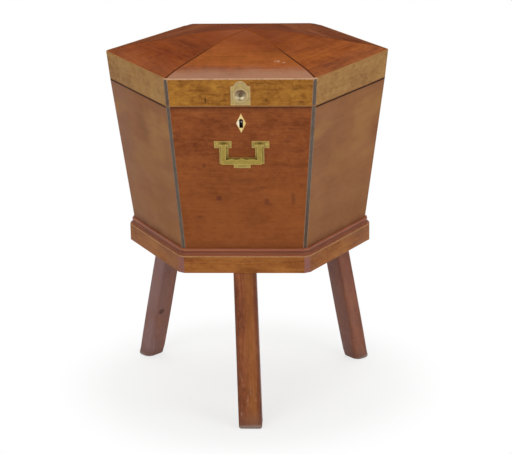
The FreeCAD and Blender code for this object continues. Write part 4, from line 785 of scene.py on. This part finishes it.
def ebony_tone(sketch, place, colour):
    """Corner bands greyed by old dust and a painted sheen, and hip lines dark near the rim and lost
    in the wood at the crown.
    """
    across, back, height = sketch.parts(place)
    reach = sketch.length(sketch.joined(across, back, 0.0))
    hip = sketch.tint(
        hued(colour_of("lid_wood"), 0.90, 0.86, 0.86), ("hip", sketch.span(reach, 0.078, 0.140)),
    )
    return sketch.tint(
        colour,
        ("brown ebony", sketch.span(height, 0.42, 0.34), sketch.span(across, -0.02, 0.05)),
        (hip, sketch.span(height, LID_TOP + 0.0004, LID_TOP + 0.0014)),
    )


def boxwood_tone(sketch, place, colour):
    """Palest round the lid's top, duller at its foot and by the dark bands, lost on the dome."""
    _, back, height = sketch.parts(place)
    aside = sketch.span(back, 0.001 - LID_REACH, 0.008 - LID_REACH)
    edge = sketch.tint(hued(colour, 1.45, 1.45, 1.85), (hued(colour, 0.98, 0.86, 0.66), aside))
    return sketch.tint(hued(colour, 1.15, 0.98, 0.90), *(
        (tone, sketch.span(height, low, high)) for low, high, tone in (
            (MOULDING_HIGH, MOULDING_HIGH + 0.002, hued(colour, 0.60, 0.68, 0.98)),
            (RIM, RIM + 0.0004, hued(colour, 0.86, 0.68, 0.56)),
            (RIM + 0.0028, RIM + 0.0040, hued(colour, 0.68, 0.74, 1.05)),
            (LID_TOP - 0.0036, LID_TOP - 0.0026, edge),
            (LID_TOP + 0.0018, LID_TOP + 0.0026, hued(colour_of("lid_wood"), 0.98, 0.95, 0.95)),
        )
    ))


INLAYS = {"ebony": (ebony_tone, 0.34, 0.46), "boxwood": (boxwood_tone, 0.38, 0.52)}


def inlay(name, wood, specular):
    """Hard pale or dark wood in narrow strips, with fine upright grain."""
    material, sketch, shader, place = new_material(name)
    tone_of, *rough = INLAYS[wood]
    grain = sketch.grain(place, (900, 900, 60), 3.0, 0.6)
    patch = sketch.noise(place, 55.0)
    tone = sketch.tint(
        tone_of(sketch, place, colour_of(wood)),
        ("pore", sketch.span(grain, 0.35, 0.65, 0.30, 0.0)),
        ("stain", sketch.span(patch, 0.50, 0.72, 0.0, 0.35)),
    )
    rough = sketch.span(patch, 0.3, 0.7, *rough)
    surface(sketch, shader, tone, rough, grain, 0.06, specular=specular)
    return material


def old_bone(name):
    """Yellowed bone with fine brown grain, a painted highlight on its left half and a darker rim.
    """
    material, sketch, shader, place = new_material(name)
    colour = colour_of("bone")
    grain = sketch.grain(place, (900, 900, 160), 3.0, 0.6)
    across, _, up = sketch.parts(place)
    middle = middle_of("keyhole_escutcheon")
    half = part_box("keyhole_escutcheon")[1] - middle
    wide, tall = (
        sketch.times(sketch.math("ABSOLUTE", reach), 1 / most)
        for reach, most in ((across, half.x), (sketch.math("SUBTRACT", up, middle.z), half.z))
    )
    tone = sketch.tint(
        colour,
        (hued(colour, 0.713, 0.62, 0.527), sketch.span(grain, 0.50, 0.72, 0.0, 0.35)),
        # Painted highlight on the left half.
        ("bone highlight", sketch.span(across, 0.0, -0.0035), sketch.span(tall, 0.55, 0.25), 0.85),
        ("yellow bone", sketch.span(across, -0.001, 0.003), 0.60),
        ("bone rim", sketch.span(sketch.math("ADD", wide, tall), 0.72, 0.98), 0.60),
    )
    rough = sketch.span(sketch.noise(place, 160.0), 0.3, 0.7, 0.26, 0.40)
    surface(sketch, shader, tone, rough, grain, 0.05)
    return material


# ---------------------------------------------------------------- operators

class CELLARETTE_OT_case(bpy.types.Operator):
    """Wax-polished mahogany on the boards of the case, each with its own run of grain"""

    bl_idname = "cellarette.case"
    bl_label = "Finish the case"

    def execute(self, context):
        for place, side in enumerate(SIDE_NAMES):
            front = side == "front"
            timber(
                "case_panel", "Case mahogany", "case_wood" if front else "side_wood", side,
                piece_frame(SIDE_TURNS[side], CASE_LEAN), (1.7 * place, 0.9 * place, 0.6 * place),
                dirt=case_dirt_and_light, **(CASE_FRONT if front else CASE_SIDE),
            )
        return {"FINISHED"}


class CELLARETTE_OT_lid(bpy.types.Operator):
    """Red mahogany on the curved panels, paler mottled wood on the rails"""

    bl_idname = "cellarette.lid"
    bl_label = "Finish the lid"

    def execute(self, context):
        for place, side in enumerate(SIDE_NAMES):
            turn = SIDE_TURNS[side]
            origin = (1.3 * place, 0.93 * place + 0.3, 0.57 * place)
            # Each panel's tint and crown tone are painted light and shade.
            hue, _, gloss = LID_PANELS.get(side, REAR_LID_PANEL)
            timber(
                "lid_top", "Lid mahogany", "lid_wood", side, piece_frame(turn), origin, hue,
                lid_light_and_marks, streaks=0.8, mottle=0.95, ribbon=0.30, blotch=0.40, specks=0.5,
                contrast=1.1, specular=gloss,
            )
            # The other rails take little gloss, as their sheen is painted into their colour.
            wood, dirt, contrast, gloss = (
                ("rail_wood", rail_marks, 1.15, 0.06) if side == "front"
                else ("side_rail_wood", None, 0.6, 0.015)
            )
            timber(
                "lid_rail", "Lid rail wood", wood, side, piece_frame(turn, CASE_LEAN), origin,
                dirt=dirt, streaks=0.45, mottle=0.9, ribbon=0.30, blotch=0.85, specks=0.8,
                contrast=contrast, specular=gloss,
            )
        return {"FINISHED"}


class CELLARETTE_OT_stand(bpy.types.Operator):
    """Base frame, moulding and legs"""

    bl_idname = "cellarette.stand"
    bl_label = "Finish the stand"

    def execute(self, context):
        for place, side in enumerate(SIDE_NAMES):
            timber(
                "base_rail", "Base mahogany", "base_wood", side, piece_frame(SIDE_TURNS[side]),
                (0.8 * place, 1.1 * place, 0.4 * place), dirt=base_sheen_and_wear,
                streaks=0.7, mottle=0.9, blotch=0.5, specks=0.8, contrast=1.1, specular=0.06,
            )
        timber(
            "base_moulding", "Moulding mahogany", "moulding_wood", dirt=moulding_hollow_shade,
            streaks=0.3, mottle=0.4, specular=0.28,
        )
        timber("base_board", "Platform wood", "inner_wood", **BARE_BOARD)
        for name in LEG_FEET:
            foot, angles = leg_frame(name)
            material = timber(
                "leg", "Leg mahogany", "leg_wood", name, angles, foot, dirt=leg_light_and_wear,
                streaks=1.0, mottle=1.1, blotch=0.55, specks=0.7,
                contrast=1.2 if name == "front" else 0.85, specular=0.12,
            )
            piece = rounded_leg(name, context.scene.cellarette_fittings)
            piece.data.materials.append(material)
            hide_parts(f"leg_{name}")
            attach(piece, "stand_and_case")
        return {"FINISHED"}


def leg_ring(half_wide, half_deep, radii, centre, turn, level):
    """Points of a rectangle with rounded corners, level, round a centre."""
    points = []
    for corner, radius in enumerate(radii):
        across, deep = ((1, 1), (-1, 1), (-1, -1), (1, -1))[corner]
        for step in range(LEG_STEPS + 1):
            angle = math.radians(90 * (corner + step / LEG_STEPS))
            x = across * (half_wide - radius) + radius * math.cos(angle)
            y = deep * (half_deep - radius) + radius * math.sin(angle)
            points.append(centre + Vector((
                x * math.cos(turn) - y * math.sin(turn),
                x * math.sin(turn) + y * math.cos(turn),
                level,
            )))
    return points


def new_piece(name, mesh):
    """Object from a finished mesh sketch."""
    data = bpy.data.meshes.new(name)
    mesh.to_mesh(data)
    mesh.free()
    piece = bpy.data.objects.new(name, data)
    bpy.context.scene.collection.objects.link(piece)
    return piece


def rounded_leg(name, sizes):
    """Leg with rounded arrises and a rounded foot, and its round tenon."""
    aside, reach = LEG_FEET[name]
    foot, top = Vector((aside, -reach, 0)), Vector((0, -LEG_TOP_REACH, 0))
    radius = sizes.front_leg_edge if name == "front" else sizes.leg_edge
    foot_radii = [radius] * 4
    if name != "front":
        foot_radii = [sizes.foot_edge * OTHER_FOOT_EDGES] * 4
        foot_radii[LEG_RIDGES[name]] = sizes.foot_edge
    low_wide, high_wide = LEG_HALF_WIDE
    low_deep, high_deep = LEG_HALF_DEEP
    rings = []

    def ring(half_wide, half_deep, radii, centre, level):
        rings.append(leg_ring(half_wide, half_deep, radii, centre, LEG_TURNS[name], level))

    for step in range(LEG_STEPS + 1):
        angle = math.radians(90 * step / LEG_STEPS)
        inset, level = (LEG_FOOT_EASE * (1 - share) for share in (math.sin(angle), math.cos(angle)))
        most = low_deep - inset - 0.0002
        radii = [min(max(each - inset * 0.4, 0.001), most) for each in foot_radii]
        ring(low_wide - inset, low_deep - inset, radii, foot, level)
    for share, fullness in LEG_SWELLS:
        half_wide = low_wide + (high_wide - low_wide) * share
        half_deep = low_deep + (high_deep - low_deep) * share
        radii = [each + (radius - each) * fullness for each in foot_radii]
        ring(half_wide, half_deep, radii, foot.lerp(top, share), LEG_HEIGHT * share)
    ring(high_wide, high_deep, [radius] * 4, top, LEG_HEIGHT)
    for level in (LEG_HEIGHT, LEG_HEIGHT + TENON_LENGTH):
        ring(TENON_RADIUS, TENON_RADIUS, [TENON_RADIUS * 0.999] * 4, top, level)
    mesh = bmesh.new()
    turn = Matrix.Rotation(SIDE_TURNS[name], 4, "Z")
    rows = [[mesh.verts.new(turn @ point) for point in points] for points in rings]
    for lower, upper in zip(rows, rows[1:]):
        for place in range(len(lower)):
            other = (place + 1) % len(lower)
            mesh.faces.new((lower[place], lower[other], upper[other], upper[place]))
    mesh.faces.new(list(reversed(rows[0])))
    mesh.faces.new(rows[-1])
    for face in mesh.faces:
        face.smooth = len(face.verts) == 4
    bmesh.ops.recalc_face_normals(mesh, faces=mesh.faces)
    for edge in mesh.edges:
        edge.smooth = edge.calc_face_angle(0.0) < LEG_SHARP_ANGLE
    return new_piece(f"leg_{name}_rounded", mesh)


class CELLARETTE_OT_interior(bpy.types.Operator):
    """Bare boards inside the case"""

    bl_idname = "cellarette.interior"
    bl_label = "Finish the inside"

    def execute(self, context):
        timber("case_bottom", "Bottom board", "inner_wood", **BARE_BOARD)
        for place, letter in enumerate("abc"):
            timber(
                "bottle_divider", "Divider wood", "inner_wood", letter,
                piece_frame(math.radians(60 * place)), (0.5 * place, 0.2, 0.1 * place),
                streaks=0.9, mottle=0.5, specular=0.12,
            )
            soften(f"bottle_divider_{letter}", context.scene.cellarette_fittings.wood_edge)
        return {"FINISHED"}


class CELLARETTE_OT_inlay(bpy.types.Operator):
    """Ebony bands and boxwood lines"""

    bl_idname = "cellarette.inlay"
    bl_label = "Finish the inlay"

    def execute(self, context):
        for node, label, wood, gloss in (
            ("case_ebony_corners", "Case ebony", "ebony", 0.10),
            ("lid_ebony_lines", "Lid ebony", "ebony", 0.0),
            ("case_boxwood_lines", "Case boxwood", "boxwood", 0.06),
            ("lid_boxwood_lines", "Lid boxwood", "boxwood", 0.0),
            ("base_boxwood_line", "Base boxwood", "boxwood", 0.06),
        ):
            dress(inlay(label, wood, gloss), node)
        dress(old_bone("Bone"), "keyhole_escutcheon")
        return {"FINISHED"}


class CELLARETTE_OT_brass(bpy.types.Operator):
    """Handles, pull, hinges and lock"""

    bl_idname = "cellarette.brass"
    bl_label = "Finish the metal"

    def execute(self, context):
        dress(
            old_brass("Old brass", metallic=0.45),
            "front_handle_plate", "back_handle_plate", "lock_link_plate", "hinge_left_case_leaf",
            "hinge_left_lid_leaf", "hinge_right_case_leaf", "hinge_right_lid_leaf",
        )
        bails = ("front_handle_bail", "back_handle_bail")
        dress(old_brass("Rubbed brass", (0.92, 0.90, 0.75), (0.36, 0.50), 0.50), *bails)
        for bail in bails:
            soften(bail, context.scene.cellarette_fittings.brass_edge * 2)
        steel = dull_steel("Dull steel")
        dress(steel, "front_handle_pins", "back_handle_pins", "lock_bolt", "hinge_pins")
        dress(old_brass("Lock brass", marks=keyhole_shade_and_glint), "lock_case")
        pull = old_brass("Pull brass", (1.12, 1.12, 2.10), (0.38, 0.52), 0.55, dish_reflection)
        dress(pull, "lid_pull_plate")
        # The knob's brass is darkened: painted shade.
        knob = old_brass("Pull knob brass", (0.42, 0.38, 0.85), (0.46, 0.60), 0.55)
        dress(knob, "lid_pull_knob")
        return {"FINISHED"}


class CELLARETTE_OT_screws(bpy.types.Operator):
    """Slotted countersunk screws in place of the plain pins"""

    bl_idname = "cellarette.screws"
    bl_label = "Cut the screws"

    def execute(self, context):
        brass = old_brass("Screw brass", (0.95,), (0.24, 0.40))
        for node, body, name in (
            ("case_brass_screws", "stand_and_case", "case_slotted_screws"),
            ("lid_brass_screws", "lid", "lid_slotted_screws"),
        ):
            piece = slotted_screws(name, node, context.scene.cellarette_fittings)
            piece.data.materials.append(brass)
            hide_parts(node)
            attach(piece, body)
        return {"FINISHED"}


def screw_places(node):
    """Middle and direction of each screw's head, head radius, shank radius and length."""
    mesh = bmesh.new()
    mesh.from_mesh(NODES[node].data)
    bmesh.ops.remove_doubles(mesh, verts=mesh.verts, dist=SAME_POINT)
    seen = set()
    places = []
    for start in mesh.verts:
        if start in seen:
            continue
        island, queue = [], [start]
        seen.add(start)
        while queue:
            vertex = queue.pop()
            island.append(vertex)
            for edge in vertex.link_edges:
                other = edge.other_vert(vertex)
                if other not in seen:
                    seen.add(other)
                    queue.append(other)
        ends = {}
        for face in dict.fromkeys(face for vertex in island for face in vertex.link_faces):
            key = tuple(round(part, 2) for part in face.normal)
            ends.setdefault(key, []).append(face)
        top = max(ends.values(), key=lambda group: sum(face.calc_area() for face in group))
        area = sum(face.calc_area() for face in top)
        normal = sum((face.normal * face.calc_area() for face in top), Vector()).normalized()
        middles = (face.calc_center_median() * face.calc_area() for face in top)
        middle = sum(middles, Vector()) / area
        depths = [(middle - vertex.co).dot(normal) for vertex in island]
        length = max(depths)
        tip = [vertex.co for vertex, depth in zip(island, depths) if depth > length - 1e-5]
        centre = sum(tip, Vector()) / len(tip)
        shank = max((point - centre).length for point in tip)
        places.append((centre + normal * length, normal, math.sqrt(area / math.pi), shank, length))
    mesh.free()
    return places


def slotted_screws(name, node, sizes):
    """One mesh of slotted screws, each turned its own way."""
    chance = random.Random(len(node))
    mesh = bmesh.new()
    for middle, normal, head, shank, length in screw_places(node):
        turn = normal.to_track_quat("Z", "Y").to_matrix().to_4x4()
        spin = Matrix.Rotation(chance.uniform(0, math.pi), 4, "Z")
        place = Matrix.Translation(middle) @ turn @ spin
        add_screw(mesh, place, head, shank, length, sizes)
    bmesh.ops.recalc_face_normals(mesh, faces=mesh.faces)
    return new_piece(name, mesh)


def add_screw(mesh, place, head, shank, length, sizes):
    """Countersunk head with an eased rim and a slot, and the shank under it."""
    ease = head * SCREW_EASE
    open_angle = math.asin(sizes.slot_half / (head - ease))

    def point(radius, angle, level):
        across, up = radius * math.cos(angle), radius * math.sin(angle)
        return mesh.verts.new(place @ Vector((across, up, level)))

    walls = []
    for side in (0, 1):
        start = side * math.pi + open_angle
        stop = (side + 1) * math.pi - open_angle
        angles = [start + (stop - start) * step / SCREW_STEPS for step in range(SCREW_STEPS + 1)]
        top = [point(head - ease, angle, 0.0) for angle in angles]
        rim = [point(head, angle, -ease) for angle in angles]
        mesh.faces.new(top)
        for step in range(SCREW_STEPS):
            mesh.faces.new((top[step], rim[step], rim[step + 1], top[step + 1]))
        walls.append((top, rim))
    floor = []
    for top, _ in walls:
        ends = [place.inverted() @ top[0].co, place.inverted() @ top[-1].co]
        low = [mesh.verts.new(place @ Vector((end.x, end.y, -sizes.slot_depth))) for end in ends]
        mesh.faces.new((top[0], low[0], low[1], top[-1]))
        floor.append(low)
    mesh.faces.new((*floor[0], *floor[1]))
    for near, far in ((0, 1), (1, 0)):
        near_top, near_rim = walls[near]
        far_top, far_rim = walls[far]
        mesh.faces.new((
            near_top[-1], floor[near][1], floor[far][0], far_top[0], far_rim[0], near_rim[-1],
        ))
    ring = walls[0][1] + walls[1][1]
    for level in (shank - head, shank - length):
        following = []
        for vertex in ring:
            flat = place.inverted() @ vertex.co
            following.append(point(shank, math.atan2(flat.y, flat.x), level))
        for step in range(len(ring)):
            other = (step + 1) % len(ring)
            mesh.faces.new((ring[step], following[step], following[other], ring[other]))
        ring = following
    tip = point(0.0, 0.0, -length)
    for step in range(len(ring)):
        mesh.faces.new((ring[step], tip, ring[(step + 1) % len(ring)]))


# ---------------------------------------------------------------- studio

def seen_rays(sketch):
    """1 for camera, glossy and transmission rays, 0 for the rest."""
    rays = sketch.add("ShaderNodeLightPath").outputs
    both = sketch.math("MAXIMUM", rays["Is Camera Ray"], rays["Is Glossy Ray"])
    return sketch.math("MAXIMUM", both, rays["Is Transmission Ray"])


def show_mix(sketch, output, *mixture):
    """Share and two shaders, mixed into what an output shows."""
    mixed = sketch.add("ShaderNodeMixShader", dict(enumerate(mixture))).outputs["Shader"]
    sketch.put(output.inputs["Surface"], mixed)


def add_lamp(name, place, target, width, height, power):
    """Large soft lamp aimed at a point."""
    light = bpy.data.lights.new(name, "AREA")
    light.shape = "RECTANGLE"
    light.size, light.size_y = width, height
    light.energy = power
    lamp = bpy.data.objects.new(name, light)
    lamp.location = place
    lamp.rotation_euler = (Vector(target) - Vector(place)).to_track_quat("-Z", "Y").to_euler()
    bpy.context.scene.collection.objects.link(lamp)


class CELLARETTE_OT_studio(bpy.types.Operator):
    """Pale floor, soft lamps and the camera"""

    bl_idname = "cellarette.studio"
    bl_label = "Set the studio"

    def execute(self, context):
        scene = context.scene
        studio = scene.cellarette_studio
        make_floor(studio)
        make_world(scene, studio)
        add_lamp("Front lamp", (-1.5, -2.9, 1.9), (0, 0, 0.35), 2.0, 2.0, studio.key_power)
        add_lamp("Side lamp", (2.6, -2.0, 1.5), (0, 0, 0.35), 1.6, 2.2, studio.fill_power)
        add_lamp("Top lamp", (0.0, 0.45, 2.5), (0, 0.15, 0.5), 2.6, 2.2, studio.top_power)
        make_camera(scene, studio)
        scene.view_settings.view_transform = "Standard"
        return {"FINISHED"}


def make_floor(studio):
    """Pale floor that keeps a soft shadow and fades to white round the piece."""
    half = studio.floor_half
    data = bpy.data.meshes.new("studio_floor")
    corners = [(-half, -half, 0), (half, -half, 0), (half, half, 0), (-half, half, 0)]
    data.from_pydata(corners, [], [(0, 1, 2, 3)])
    floor = bpy.data.objects.new("studio_floor", data)
    bpy.context.scene.collection.objects.link(floor)
    material, sketch, shader, place = new_material("Pale floor")
    tone = studio.floor_tone
    pale = sketch.blend(sketch.noise(place, 3.0), (tone * 0.985,) * 3, (tone,) * 3)
    sketch.put(shader.inputs["Base Color"], pale)
    sketch.put(shader.inputs["Roughness"], 0.9)
    sketch.put(shader.inputs["Specular IOR Level"], 0.0)
    glow = sketch.add("ShaderNodeEmission", {"Color": (1.0, 1.0, 1.0), "Strength": 1.0})
    fade = sketch.span(sketch.length(place), 0.22, 0.36, 0.71, 1.0)
    share = sketch.times(fade, seen_rays(sketch))
    output = sketch.tree.nodes["Material Output"]
    show_mix(sketch, output, share, shader.outputs["BSDF"], glow.outputs["Emission"])
    data.materials.append(material)


def make_world(scene, studio):
    """White low round the piece and dim overhead to look at; even soft light for all else."""
    world = bpy.data.worlds.new("Studio")
    world.use_nodes = True
    world.node_tree.nodes.clear()
    sketch = NodeSketch(world.node_tree)
    rise = sketch.parts(sketch.point("Generated"))[2]
    even, seen = (
        sketch.add("ShaderNodeBackground", {"Color": (1, 1, 1), "Strength": strength}).outputs[0]
        for strength in (studio.ambient, sketch.span(rise, 0.16, 0.40, 1.0, 0.12))
    )
    show_mix(sketch, sketch.add("ShaderNodeOutputWorld"), seen_rays(sketch), even, seen)
    scene.world = world


def make_camera(scene, studio):
    """Camera a little above the lid and a little to the right."""
    data = bpy.data.cameras.new("Camera")
    camera = bpy.data.objects.new("Camera", data)
    scene.collection.objects.link(camera)
    data.sensor_width = 36.0
    data.sensor_fit = "HORIZONTAL"
    data.lens = studio.lens
    data.shift_x = studio.shift
    data.clip_end = 60.0
    level, around = studio.elevation, studio.azimuth
    back = Vector((
        math.sin(around) * math.cos(level),
        -math.cos(around) * math.cos(level),
        math.sin(level),
    ))
    target = Vector((studio.look_across, 0, studio.look_height))
    camera.location = target + back * studio.distance
    turn = (-back).to_track_quat("-Z", "Y").to_matrix().to_4x4()
    spin = Matrix.Rotation(studio.roll, 4, "Z")
    camera.rotation_euler = (turn @ spin).to_euler()
    scene.camera = camera


# ---------------------------------------------------------------- panel and registration

class CELLARETTE_PT_panel(bpy.types.Panel):
    """Lists the pieces and their settings"""

    bl_label = "Cellarette"
    bl_space_type = "VIEW_3D"
    bl_region_type = "UI"
    bl_category = "Cellarette"

    def draw(self, context):
        for operator in OPERATORS:
            self.layout.operator(operator.bl_idname)
        for name in SETTINGS:
            group = getattr(context.scene, name)
            box = self.layout.box()
            box.label(text=name.split("_")[1].title())
            for setting in group.bl_rna.properties.keys():
                if setting not in ("rna_type", "name"):
                    box.prop(group, setting)


SETTINGS = {
    "cellarette_finish": CellaretteFinish,
    "cellarette_fittings": CellaretteFittings,
    "cellarette_studio": CellaretteStudio,
}
OPERATORS = (
    CELLARETTE_OT_case,
    CELLARETTE_OT_lid,
    CELLARETTE_OT_stand,
    CELLARETTE_OT_interior,
    CELLARETTE_OT_inlay,
    CELLARETTE_OT_brass,
    CELLARETTE_OT_screws,
    CELLARETTE_OT_studio,
)


def register():
    """Register the settings, the operators and the panel."""
    for kind in (*SETTINGS.values(), *OPERATORS, CELLARETTE_PT_panel):
        bpy.utils.register_class(kind)
    for name, kind in SETTINGS.items():
        setattr(bpy.types.Scene, name, PointerProperty(type=kind))


def unregister():
    """Take them away again."""
    for name in SETTINGS:
        delattr(bpy.types.Scene, name)
    for kind in reversed((*SETTINGS.values(), *OPERATORS, CELLARETTE_PT_panel)):
        bpy.utils.unregister_class(kind)


def main():
    """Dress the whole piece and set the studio."""
    register()
    bpy.ops.cellarette.case()
    bpy.ops.cellarette.lid()
    bpy.ops.cellarette.stand()
    bpy.ops.cellarette.interior()
    bpy.ops.cellarette.inlay()
    bpy.ops.cellarette.brass()
    bpy.ops.cellarette.screws()
    bpy.ops.cellarette.studio()


if __name__ == "__main__":
    main()
